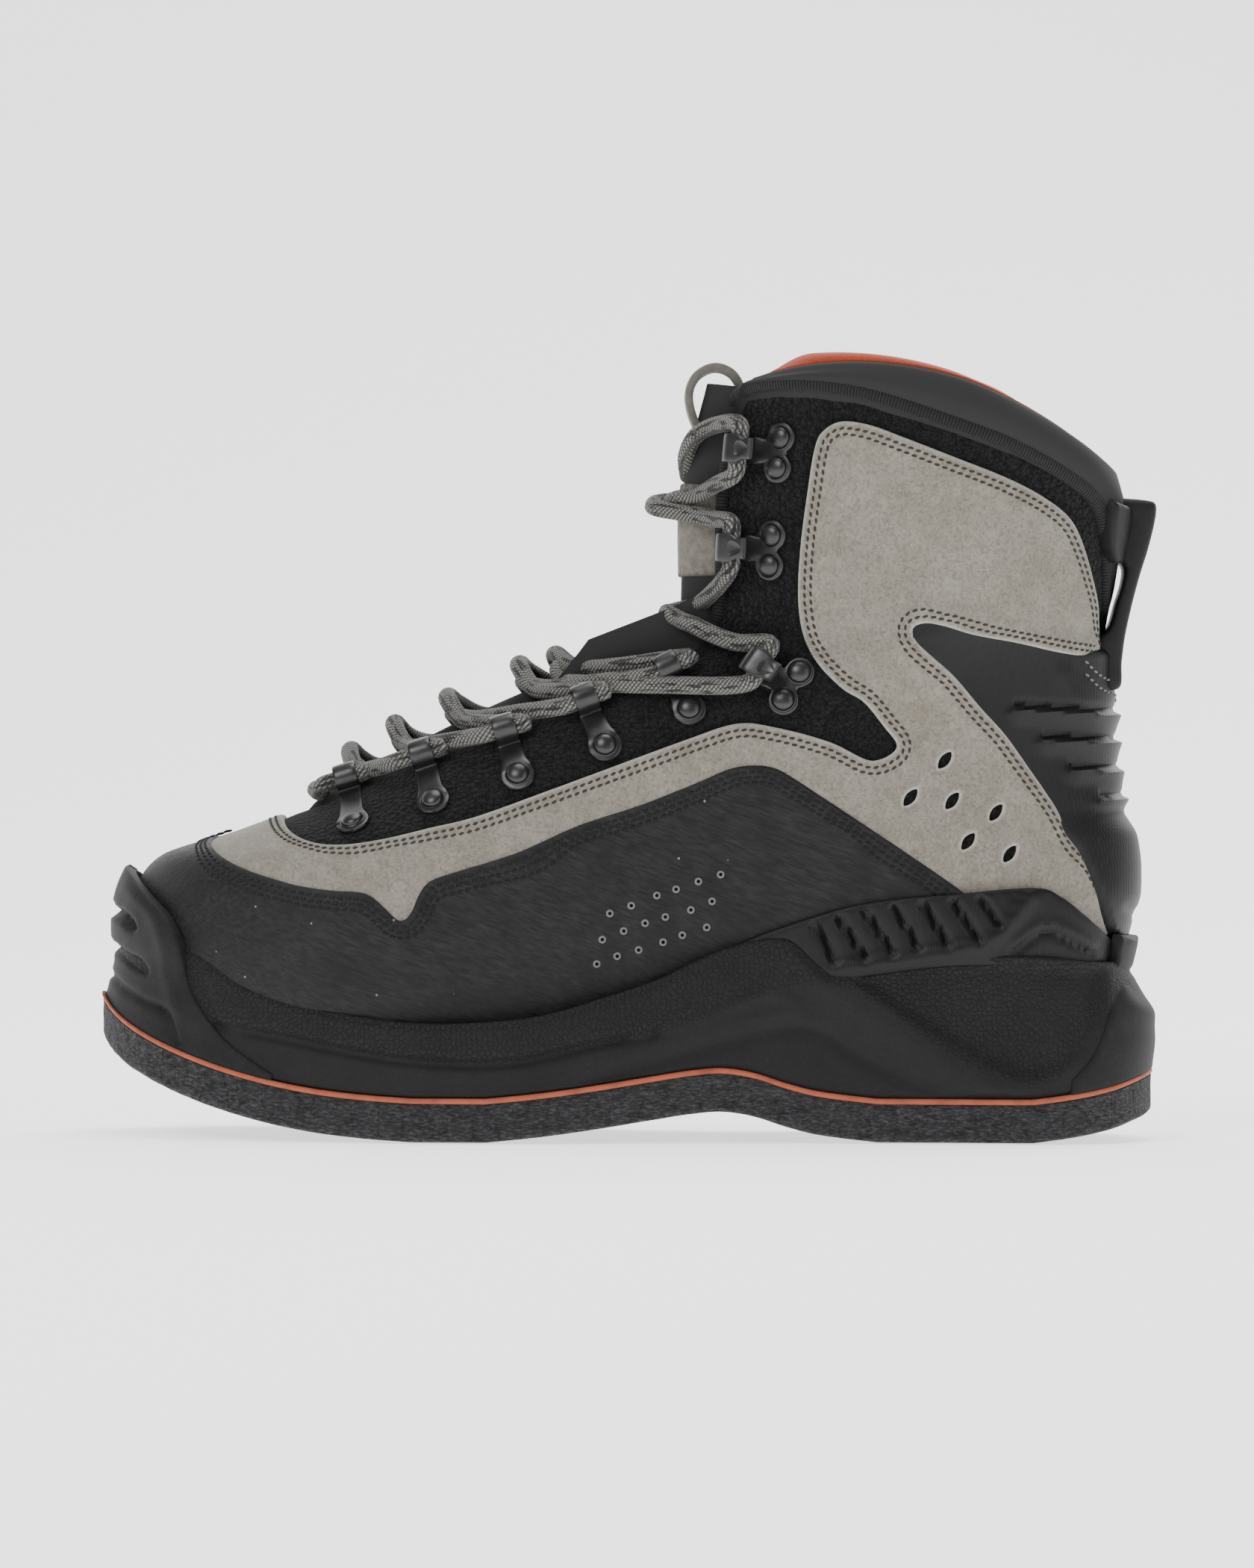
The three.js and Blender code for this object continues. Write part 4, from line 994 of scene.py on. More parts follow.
# Moulded TPU: satin plastic with a fine square print
TPU = Finish("moulded_tpu", "#0b0b0c", .5, (
    Grain(Pattern.WEAVE, .9, "#161617", .5, .03, span=(.15, .6)),
    Grain(Pattern.NOISE, 6, "#0b0b0b", .4, span=(.35, .7)),
), specular=.26, rough_span=.05)
# Smooth moulded TPU of the pull tab
TPU_SMOOTH = Finish("smooth_tpu", "#111112", .55, (
    Grain(Pattern.NOISE, .5, "#1d1d1e", .4, .04),
    Grain(Pattern.NOISE, 7, "#0b0b0c", .4, span=(.35, .7)),
), specular=.24)
# EVA foam midsole: dull moulded foam, leather grain in its sunk fields
FOAM = Finish("moulded_eva", "#171718", .64, (
    Grain(Pattern.CRACKS, 1.5, "#080808", .5, .2, span=(.16, .02), mask="grain"),
    Grain(Pattern.NOISE, .9, "#242426", .45, .05, span=(.4, .75)),
    Grain(Pattern.NOISE, 18, "#0f0f10", .5, span=(.35, .7)),
), specular=.22)
# Dusty rubber of the toe bumper and the heel cradle
RUBBER = Finish("dusty_rubber", "#161617", .66, (
    Grain(Pattern.NOISE, 8, "#262627", .55, span=(.4, .75)),
    Grain(Pattern.NOISE, .7, "#0d0d0d", .5, .05, span=(.4, .7)),
), specular=.22)
# Foxing strip: terracotta rubber, a little dirty
FOXING = Finish("terracotta_rubber", "#9c4f38", .72, (
    Grain(Pattern.NOISE, 6, "#5e3125", .6, .05, span=(.45, .75)),
), specular=.35)
# Wading felt: pressed wool-like fibres, grey, with cracks in its cut edge
FELT = Finish("pressed_felt", "#2a2a2b", .97, (
    Grain(Pattern.CRACKS, 7, "#0d0d0d", .35, .2, stretch=(1, 1, .6), span=(.06, .01)),
    Grain(Pattern.NOISE, .8, "#57575a", .7, .45, stretch=(.45, .45, 1.5), span=(.45, .7)),
    Grain(Pattern.NOISE, 2.4, "#111112", .6, .3, stretch=(.6, .6, 1.3), span=(.5, .72)),
), specular=.08, sheen=.12)
# Painted steel hooks and loops: satin black enamel; the grey wear on their edges is not drawn
ENAMEL = Finish("satin_black_enamel", "#161617", .36, (
    Grain(Pattern.NOISE, 2.5, "#0d0d0e", .5, .01, span=(.35, .7)),
), specular=.5, coat=.12, rough_span=.06)
# Braided polyester cord: slanting grey yarns with lengthwise black flecks
BRAID = Finish("braided_cord", "#7d7c77", .8, (
    Grain(Pattern.RIBS, 1.0, "#22211f", .85, .25, turn=(0, 0, 40), span=(.6, .15), space=Space.SHEET),
    Grain(Pattern.RIBS, 1.0, "#2b2a28", .5, .2, turn=(0, 0, -40), span=(.6, .15), space=Space.SHEET),
    Grain(Pattern.NOISE, 1.5, "#111111", .95, stretch=(.16, 1, 1), span=(.52, .57), space=Space.SHEET),
), specular=.3, sheen=.15)
# Bonded nylon thread
GREY_THREAD = Finish("grey_thread", "#262421", .75, (
    Grain(Pattern.NOISE, .4, "#3d3b37", .5, .04),), specular=.3)
BLACK_THREAD = Finish("black_thread", "#070707", .7, (
    Grain(Pattern.NOISE, .4, "#161617", .5, .04),), specular=.3)
PALE_THREAD = Finish("pale_thread", "#6f6f6d", .7, (
    Grain(Pattern.NOISE, .4, "#4a4a49", .5, .04),), specular=.3)
# Shaded bottom of a needle hole or a punched vent
SHADE = Finish("needle_hole", "#060606", .95, (Grain(Pattern.NOISE, .4, "#101010", .5, .02),), specular=.1)
# Woven top cloth of the insole
BED_CLOTH = Finish("insole_cloth", "#26262a", .9, (
    Grain(Pattern.WEAVE, 1.2, "#3a3a3f", .6, .1),), specular=.25)
# Matt white sweep
SWEEP = Finish("white_sweep", "#f4f4f4", .95, (Grain(Pattern.NOISE, 900, "#efefef", .3),), specular=.1, glow=1.3)


def piece(name: str, stock: Stock | bpy.types.Mesh, finish: Finish, slot: str, *nodes: str,
          crease: float = 50.0, fill: float | None = None) -> bpy.types.Object:
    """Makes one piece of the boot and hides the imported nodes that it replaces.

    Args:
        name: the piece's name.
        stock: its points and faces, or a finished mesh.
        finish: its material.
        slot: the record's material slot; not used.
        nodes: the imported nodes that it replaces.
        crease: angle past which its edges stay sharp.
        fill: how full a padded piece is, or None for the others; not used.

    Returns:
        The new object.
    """
    mesh = stock.mesh(name, crease) if isinstance(stock, Stock) else stock
    made = bpy.data.objects.new(name, mesh)
    bpy.context.scene.collection.objects.link(made)
    mesh.materials.clear()
    mesh.materials.append(finish.material())
    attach(made, "root")
    if nodes:
        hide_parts(*nodes)
    log.info("%s: %d faces", name, len(mesh.polygons))
    return made


# Sole

@dataclass
class SoleUnit:
    """Felt outsole, foxing strip and moulded midsole."""

    columns: int = 300
    wall_rows: int = 36
    lip: float = 1.3
    tuck: float = 9.0
    felt_round: float = 1.4

    def carvings(self) -> list[Carving]:
        """What is moulded into the midsole's side wall."""
        recess = ((.690, .222), (.699, .211), (.765, .15), (.828, .101), (.858, .083), (.882, .077), (.909, .088),
                  (.936, .114), (.948, .155), (.958, .225), (.97, .3), (.8, .3), (.69, .3))
        return [
            Carving(Stroke.POCKET, recess, 2.0, 5.0),
            Carving(Stroke.RIDGE, ((.66, .235), (.699, .190), (.765, .128), (.828, .078), (.87, .055)), 1.1, 5.0),
            Carving(Stroke.GROOVE, ((.466, .074), (.514, .097), (.574, .121), (.619, .138), (.649, .147),
                                    (.682, .143), (.723, .107), (.783, .067)), .9, 2.6),
            Carving(Stroke.GROOVE, ((.117, .145), (.168, .133), (.228, .117), (.288, .104), (.347, .099),
                                    (.4, .102), (.425, .109), (.484, .128), (.532, .14)), 1.3, 1.5),
            Carving(Stroke.PLATE, ((.117, .147), (.168, .135), (.228, .119), (.288, .106), (.347, .101),
                                   (.4, .104), (.425, .111), (.484, .130), (.532, .142), (.56, .3), (.3, .3),
                                   (.117, .3)), .8, 2.2),
            Carving(Stroke.RIDGE, ((.60, .175), (.635, .19), (.66, .175)), .5, 2.0),
            Carving(Stroke.RIDGE, ((.62, .155), (.65, .165), (.68, .15)), .4, 1.6),
        ]

    def ring(self, turns: Array, inset: float, rise: float) -> Array:
        """One ring of a flat layer, a height above the felt's underside."""
        x, y = SOLE.plan(turns, *(np.full(len(turns), inset) for _ in range(3)))
        return np.stack([x, y, SOLE.underside(share_of(x)) + rise], 1)

    def layer(self, steps: Sequence[tuple[float, float]], rough: float) -> Stock:
        """A flat layer from its insets and heights, with an uneven side."""
        turns = even_turns(SOLE, 0, self.columns)
        rows = np.stack([self.ring(turns, inset, rise) for inset, rise in steps])
        flat = rows.reshape(-1, 3)
        centre = np.stack([flat[:, 0] * .6, flat[:, 1] * 0, 0 * flat[:, 2]], 1)
        out = (flat - centre) * (1, 1, 0)
        out /= np.linalg.norm(out, axis=1, keepdims=True) + 1e-6
        flat = flat + out * (mottle(flat, 3.0) * rough)[:, None]
        return tube(flat.reshape(rows.shape), strips=True)

    def midsole(self) -> Stock:
        """The midsole's wall, upper lip and hidden top."""
        turns = even_turns(SOLE, .5, self.columns)
        rows, grain = [], []
        for v in np.linspace(0, 1, self.wall_rows):
            level = np.full(len(turns), v)
            bare = SOLE.bare(turns, level)
            out = carved(self.carvings(), bare) * ease(v / .08) * ease((1.02 - v) / .1)
            round_in = .8 * (1 - math.sqrt(max(0, 1 - max(0, 1 - v / .06) ** 2)))
            rows.append(SOLE.place(turns, level, out - round_in))
            high = SIZES.height * smooth_at(((0, .145), (.117, .145), (.347, .099), (.532, .14), (.69, .2),
                                             (.83, .09), (.9, .08), (.95, .16), (1, .2)), share_of(bare[:, 0]))
            grain.append(ease((bare[:, 2] - high) / 4 + .5))
        for angle in np.linspace(.25, 1, 4) * math.pi / 2:
            rows.append(self.lip_ring(turns, self.lip * (1 - math.cos(angle)), self.lip * math.sin(angle)))
        rows.append(self.lip_ring(turns, self.tuck * .6, -1.0))
        rows.append(self.lip_ring(turns, self.tuck, -7.0))
        grain += [grain[-1]] * (len(rows) - len(grain))
        return tube(np.stack(rows), {"grain": np.stack(grain)}, strips=True)

    def lip_ring(self, turns: Array, inwards: float, upwards: float) -> Array:
        """A ring inside the midsole's upper edge."""
        insets = [a + inwards for a in SOLE.stand_in(np.ones(len(turns)))]
        x, y = SOLE.plan(turns, *insets)
        return np.stack([x, y, SOLE.edge(share_of(x)) + upwards], 1)

    def build(self) -> None:
        """Builds and dresses the sole."""
        r, top = self.felt_round, SIZES.felt
        steps = [(r * (1 - math.cos(a)) + .5, r * (1 - math.sin(a))) for a in np.linspace(0, 1, 5)[::-1] * 1.57]
        steps += [(.5, h) for h in np.linspace(r, top - .3, 9)[1:]] + [(.8, top)]
        piece("felt_sole", self.layer(steps, .28), FELT, "felt", "felt_outsole")
        strip = [(.9, top), (.35, top + .15), (.05, top + .5), (0, top + .85), (.05, top + 1.2), (.35, top + 1.55),
                 (.9, top + SIZES.foxing)]
        piece("foxing_line", self.layer(strip, .06), FOXING, "foxing", "foxing_strip")
        piece("midsole_wall", self.midsole(), FOAM, "foam", "midsole")


# Rubber at the ends of the sole

@dataclass
class SoleEnds:
    """Toe bumper and heel cradle, each one skin over sole and upper."""

    proud: float = 1.0
    buried: float = -2.6
    bumper_line: Shares = ((-.005, .347), (.010, .342), (.021, .334), (.035, .319), (.049, .303), (.066, .284),
                           (.075, .266), (.081, .248), (.086, .223), (.091, .198), (.100, .172), (.118, .139),
                           (.140, .112), (.172, .084))
    cradle_line: Shares = ((.966, .268), (.962, .250), (.961, .225), (.955, .172), (.938, .114), (.915, .078))

    def foot_line(self, hull: Hull, start: float, end: float, side: int) -> Array:
        """The line along the foxing from one share of length to another."""
        shares = np.linspace(start, end, 24)
        ups = SOLE.base(np.clip(shares, 0, 1)) / SIZES.height - .002
        return hull.line(np.stack([shares, ups], 1), side)

    def bumper(self) -> None:
        """Builds the toe bumper with its ribs and pockets."""
        hull = Hull(((0, 7.2), (.5, 5.6), (.9, 4.0), (1.3, 3.4), (3.2, 3.4)))
        top = hull.line(self.bumper_line, -1)
        foot = self.foot_line(hull, self.bumper_line[-1][0], -.02, -1)
        outer = np.vstack([top, foot[1:-1]])
        outline = np.vstack([outer, mirrored(outer)[1:-1]])
        marks = [
            Carving(Stroke.POCKET, ((-.06, .298), (.009, .300), (.032, .288), (.041, .276), (.042, .258),
                                    (.032, .262), (.009, .279), (-.06, .279)), 3.0, 2.2),
            Carving(Stroke.POCKET, ((-.06, .255), (.004, .255), (.031, .239), (.045, .231), (.053, .219),
                                    (.055, .203), (.038, .212), (.004, .236), (-.06, .238)), 3.0, 2.2),
            Carving(Stroke.GROOVE, ((-.05, .214), (.003, .210), (.028, .188), (.052, .172), (.06, .17),
                                    (.07, .161), (.075, .147), (.08, .121)), 1.3, 1.0),
            Carving(Stroke.RIDGE, ((.03, .318), (.052, .292), (.063, .268), (.069, .235), (.072, .2),
                                   (.082, .165)), .7, 2.2),
        ]
        panel = Panel(hull, outline, self.buried, self.proud, 1.3, 1.2,
                      relief=lambda p, at, gap: carved(marks, p) * ease(gap / 2) + .12 * mottle(p, 7))
        piece("toe_bumper_rubber", panel.stock(), RUBBER, "rubber", "toe_bumper")

    def cradle(self) -> None:
        """Builds the heel cradle."""
        hull = Hull(((0, 4), (2.2, 3.4), (2.7, 5.5), (3.1, 8.2), (3.2, 8.2)))
        outer = np.vstack([hull.line(self.cradle_line, -1)[::-1], [[-math.pi, self.cradle_line[0][1]]]])
        foot = self.foot_line(hull, 1.02, self.cradle_line[-1][0], -1)
        outer = np.vstack([foot, outer[1:]]) + (2 * math.pi, 0)
        inner = (outer * (-1, 1) + (2 * math.pi, 0))[::-1]
        marks = [
            Carving(Stroke.GROOVE, ((.955, .222), (.985, .215), (1.06, .2)), .9, 1.2),
            Carving(Stroke.RIDGE, ((.965, .19), (.985, .165), (1.06, .15)), .9, 2.6),
        ]
        panel = Panel(hull, np.vstack([outer, inner[1:-1]]), self.buried, self.proud, 1.3, 1.1,
                      relief=lambda p, at, gap: carved(marks, p) * ease(gap / 2))
        piece("heel_cradle_rubber", panel.stock(), RUBBER, "rubber", "heel_cradle")

    def build(self) -> None:
        """Builds both ends."""
        self.bumper()
        self.cradle()


def mirrored(line: Array) -> Array:
    """A line's copy on the other side, run backwards."""
    return line[::-1] * (-1, 1)


# Upper

RAND_TOP = ((.151, .409), (.132, .399), (.120, .388), (.110, .375), (.111, .365), (.123, .354), (.144, .342),
            (.168, .332), (.198, .322), (.228, .317), (.249, .316), (.262, .311), (.276, .295), (.286, .282),
            (.293, .281), (.300, .292), (.307, .314), (.318, .331), (.347, .345), (.4, .368), (.454, .402),
            (.514, .43), (.559, .455), (.595, .476), (.619, .481), (.637, .478), (.652, .468), (.679, .444),
            (.738, .391), (.783, .35), (.816, .318))
LEATHER_TOP = ((.172, .417), (.180, .396), (.192, .383), (.21, .375), (.228, .373), (.258, .377), (.317, .397),
               (.356, .411), (.41, .438), (.454, .461), (.514, .492), (.559, .515), (.592, .531), (.613, .535),
               (.634, .531), (.664, .522), (.694, .509), (.722, .490), (.735, .489), (.748, .498), (.752, .510),
               (.741, .530), (.721, .563), (.701, .580), (.678, .612), (.665, .648), (.660, .697), (.662, .763),
               (.668, .83), (.674, .884), (.681, .908), (.698, .922), (.724, .918), (.756, .902), (.805, .876),
               (.854, .850), (.887, .828), (.911, .804), (.924, .774), (.936, .721), (.941, .685), (.943, .630))
LEATHER_REAR = ((.932, .623), (.903, .629), (.854, .644), (.821, .653), (.795, .662), (.777, .665), (.767, .658),
                (.769, .643), (.784, .623), (.804, .598), (.83, .555), (.853, .52), (.876, .474), (.898, .429),
                (.914, .387), (.93, .36), (.939, .335), (.948, .303), (.957, .262), (.961, .246))
STABILISER_TOP = ((.589, .243), (.615, .26), (.649, .277), (.708, .301), (.768, .313), (.816, .318), (.858, .323),
                  (.886, .323), (.900, .314), (.912, .303), (.933, .278), (.952, .252))
STABILISER_LOW = ((.957, .235), (.944, .222), (.903, .225), (.858, .228), (.798, .225), (.738, .215), (.70, .206),
                  (.683, .212), (.667, .235), (.65, .256), (.63, .252), (.6, .24))
RIM = ((.597, .945), (.603, .958), (.617, .969), (.640, .973), (.675, .971), (.7235, .959), (.789, .929),
       (.854, .896), (.903, .862), (.936, .829), (.948, .785), (.950, .72), (.950, .68), (.950, .655))
DRAIN_HOLES = ((.797, .489), (.765, .441), (.804, .437), (.845, .422), (.819, .385), (.858, .369))
THROAT_LOW, THROAT_HIGH, HEEL_NOTCH = 5.05, 12.5, 8.0


@dataclass
class UpperUnit:
    """Mesh shell, rand, leather quarters, heel counter and stabiliser wings."""

    buried: float = -.7
    rand_high: float = 2.5
    leather_high: float = 1.7
    counter_high: float = 2.5
    wing_high: float = 4.9
    rows: list[tuple[str, Array, Array]] = field(default_factory=list)
    vents: list[tuple[Array, Array]] = field(default_factory=list)

    def shell(self) -> None:
        """Builds the knitted mesh shell, open at throat and collar."""
        halves = []
        for side in (-1, 1):
            throat = LAST.throat(side, THROAT_LOW, THROAT_HIGH)
            rim = LAST.line(RIM, side)
            down = np.linspace(HEEL_NOTCH, 0, 60)
            heel = np.stack([np.full(60, side * math.pi), down], 1)
            halves.append(np.vstack([throat, rim, heel]))
        low = np.linspace(-math.pi, math.pi, 320)[1:-1]
        outline = np.vstack([halves[0], np.stack([low, 0 * low], 1), halves[1][::-1][:-1]])
        panel = Panel(LAST, outline, -SIZES.wall, 0, 2.3, 1.1, seams=True, both=True,
                      relief=lambda p, at, gap: .18 * mottle(p, 9))
        piece("mesh_shell", panel.stock(), KNIT, "knit_mesh", "upper")

    def rand(self) -> None:
        """Builds the brushed rand round the toe and both sides."""
        top = LAST.line(RAND_TOP, -1)
        low = LAST.line(((.81, .30), (.74, .24), (.66, .21), (.589, .205), (.529, .18), (.484, .16), (.425, .14),
                         (.365, .13), (.3, .13), (.243, .14), (.168, .165), (.114, .2), (.06, .22),
                         (.02, .235)), -1, 2.0)
        outer = np.vstack([top, low])
        outer[0, 0] = outer[-1, 0] = 0
        outline = np.vstack([outer, mirrored(outer)[1:-1]])
        panel = Panel(LAST, outline, self.buried, self.rand_high, 1.7, .9,
                      relief=lambda p, at, gap: .16 * mottle(p, 12) + .1 * mottle(p, 4.5))
        piece("rand_band", panel.stock(), RAND, "rubber", "rand")
        run = top[11:-3]
        for line in (run, mirrored(run)):
            for gap in (2.0, 3.6, 5.2):
                self.rows.append(("black", *panel.row(line, gap, .1)))
        for row in (((.483, .291), (.503, .301), (.527, .314), (.545, .322), (.566, .332), (.587, .341)),
                    ((.476, .258), (.496, .269), (.516, .279), (.535, .287), (.559, .296), (.579, .307)),
                    ((.471, .227), (.49, .237), (.51, .245), (.533, .255), (.551, .264), (.574, .274))):
            for side in (-1, 1):
                at = LAST.locate(*np.array(row).T, side)
                point, _, _, normal = LAST.frame(*at.T)
                self.vents.append((point + normal * (self.rand_high + .05), normal))

    def leather(self, side: int) -> None:
        """Builds one leather quarter with its drain holes."""
        top = LAST.line(LEATHER_TOP, side)
        rear = LAST.line(LEATHER_REAR, side)
        low = LAST.line(RAND_TOP, side, 1.5)[::-1] - (0, .25)
        low = np.vstack([low, np.linspace(low[-1], (side * .004, low[-1][1]), 4)[1:]])
        under = LAST.line(((.945, .262), (.912, .285), (.894, .303), (.858, .305), (.82, .30)), side, 1.5)
        outline = np.vstack([top, rear, under, low])
        outline[:, 0] = side * np.maximum(side * outline[:, 0], .004)
        rear_points = LAST.bare(*rear.T)
        holes = []
        for along, up in DRAIN_HOLES:
            angle = np.linspace(0, 2 * math.pi, 22, endpoint=False)
            lens = np.stack([3.1 * np.cos(angle), 1.5 * np.sin(angle) * (1 - .35 * np.cos(angle) ** 2)], 1)
            slope = math.radians(52)
            turned = lens @ np.array([[math.cos(slope), math.sin(slope)], [-math.sin(slope), math.cos(slope)]])
            hole = LAST.locate(along + turned[:, 0] / SIZES.length, up + turned[:, 1] / SIZES.height, side)
            holes.append(hole)

        def relief(p: Array, at: Array, gap: Array) -> Array:
            """Soft waves, and the lap over the counter along the rear edge."""
            lap = 1.5 * ease((9 - to_dense_line(p, rear_points)) / 6)
            return lap + .22 * mottle(p, 15) + .1 * mottle(p, 5)

        panel = Panel(LAST, outline, self.buried, self.leather_high, 1.7, .8, holes, relief=relief)
        name = SIDE_NAMES[side]
        piece(f"nubuck_quarter_{name}", panel.stock(), NUBUCK, "nubuck", f"leather_quarter_{name}")
        edge = np.vstack([top[6:], rear[1:-4]])
        for gap in (2.1, 3.9):
            self.rows.append(("grey", *panel.row(edge, gap, .02)))

    def counter(self) -> None:
        """Builds the heel counter with its blades and spine."""
        line = [(a - .014, u + .012) for a, u in LEATHER_REAR[:-2]]
        rear = LAST.line([(.945, .640), *line, (.948, .262), (.962, .248)], -1)
        outer = np.vstack([[[-math.pi, HEEL_NOTCH]], rear, [[-math.pi, 1.45]]]) + (2 * math.pi, 0)
        inner = (outer * (-1, 1) + (2 * math.pi, 0))[::-1]
        outline = np.vstack([outer, inner])
        keep = np.concatenate(([True], np.linalg.norm(np.diff(outline * LAST.scale, axis=0), axis=1) > 1e-3))
        outline = evened(outline[keep], LAST.bare(*outline[keep].T), .9)[:-1]
        blades = [Carving(Stroke.BLADE, ((a, u), (1.06, u - drop)), 2.0, 5.5) for a, u, drop in
                  ((.867, .555, .012), (.892, .516, .008), (.917, .476, .004), (.940, .437, 0))]
        others = [Carving(Stroke.RIDGE, ((.905, .60), (.93, .53), (.955, .44), (.968, .36)), .5, 3.0),
                  Carving(Stroke.GROOVE, ((.955, .30), (.975, .285), (1.06, .275)), .8, 1.2)]

        def relief(p: Array, at: Array, gap: Array) -> Array:
            """Blades, and the spine that stands out behind the heel."""
            spine = smooth_at(((.255, 3.2), (.285, 4.4), (.32, 6.6), (.385, 6.6), (.405, 5.0), (.42, 4.0),
                               (.44, 4.8), (.48, 4), (.56, 4), (.65, 3.4)), p[:, 2] / SIZES.height)
            middle = np.exp(-((at[:, 0] - math.pi) / .34) ** 2)
            return (carved(blades, p) * ease((gap - 1) / 3) + carved(others, p) + spine * middle) * ease(gap / 1.5)

        panel = Panel(LAST, outline, self.buried, self.counter_high, 1.4, .8, relief=relief)
        piece("heel_counter_shell", panel.stock(), TPU, "moulded", "heel_counter", crease=40)
        for side in (-1, 1):
            for shift in (0, .017):
                seam = LAST.line(((.924, .618 - shift), (.934, .60 - shift), (.946, .590 - shift),
                                  (.9555, .586 - shift)), side, 1.0)
                point, _, _, normal = LAST.frame(*seam.T)
                gap = np.full(len(point), 9.0)
                turn = np.stack([seam[:, 0] % (2 * math.pi), seam[:, 1]], 1)
                self.rows.append(("pale", point + normal * (2.6 + relief(point, turn, gap))[:, None], normal))

    def wing(self, side: int) -> None:
        """Builds one stabiliser wing with its slits and rim."""
        outline = np.vstack([LAST.line(STABILISER_TOP, side), LAST.line(STABILISER_LOW, side)])
        slits = (((.674, .28), (.695, .233)), ((.698, .287), (.723, .237)), ((.723, .295), (.749, .244)),
                 ((.749, .302), (.773, .25)), ((.776, .306), (.8, .254)), ((.803, .31), (.828, .26)),
                 ((.828, .313), (.846, .279)))
        marks = [Carving(Stroke.GROOVE, s, 2.0, 1.0) for s in slits] + [
            Carving(Stroke.RIDGE, ((.694, .221), (.73, .228), (.768, .236), (.828, .254), (.852, .277),
                                   (.874, .314)), 1.0, 2.3),
            Carving(Stroke.GROOVE, ((.86, .247), (.888, .270), (.926, .245)), 1.0, 1.2),
            Carving(Stroke.RIDGE, ((.86, .257), (.888, .281), (.926, .255)), .7, 1.6),
        ]
        panel = Panel(LAST, outline, self.buried, self.wing_high, 1.1, 1.2,
                      relief=lambda p, at, gap: carved(marks, p) * ease(gap / 2.5))
        name = SIDE_NAMES[side]
        piece(f"stabiliser_wing_{name}", panel.stock(), TPU, "moulded", f"stabiliser_{name}", crease=40)

    def build(self) -> None:
        """Builds the upper from the inside out."""
        self.shell()
        self.rand()
        self.counter()
        for side in (-1, 1):
            self.leather(side)
            self.wing(side)


# Padding

def swept(points: Array, normals: Array, half_width: Array | float, half_height: Array | float,
          count: int = 14, fullness: float = 1.0, round_units: float | None = None) -> Stock:
    """A closed rounded section carried along a line.

    Args:
        points: the line's points.
        normals: direction of the section's height at each point.
        half_width: half the section's width.
        half_height: half the section's height.
        count: points round the section.
        fullness: 1 for an ellipse, less for a squarer section.
        round_units: length of the mark round the whole section, or None for its real one.

    Returns:
        The closed stock, marked with its run and its place round the section.
    """
    way = np.gradient(points, axis=0)
    way /= np.linalg.norm(way, axis=1, keepdims=True) + 1e-9
    up = normals - way * np.sum(normals * way, 1)[:, None]
    up /= np.linalg.norm(up, axis=1, keepdims=True) + 1e-9
    across = np.cross(way, up)
    angle = np.linspace(0, 2 * math.pi, count, endpoint=False)
    flat = np.sign(np.cos(angle)) * np.abs(np.cos(angle)) ** fullness
    tall = np.sign(np.sin(angle)) * np.abs(np.sin(angle)) ** fullness
    wide = np.broadcast_to(half_width, len(points))[:, None, None] * flat[None, :, None]
    high = np.broadcast_to(half_height, len(points))[:, None, None] * tall[None, :, None]
    rows = points[:, None] + across[:, None] * wide + up[:, None] * high
    run = run_of(points)
    units = round_units or 2 * math.pi * float(np.max(half_width))
    sheet = np.stack(np.broadcast_arrays(run[:, None], angle[None] / (2 * math.pi) * units, 0.0), -1)
    return tube(rows, {"sheet": sheet})


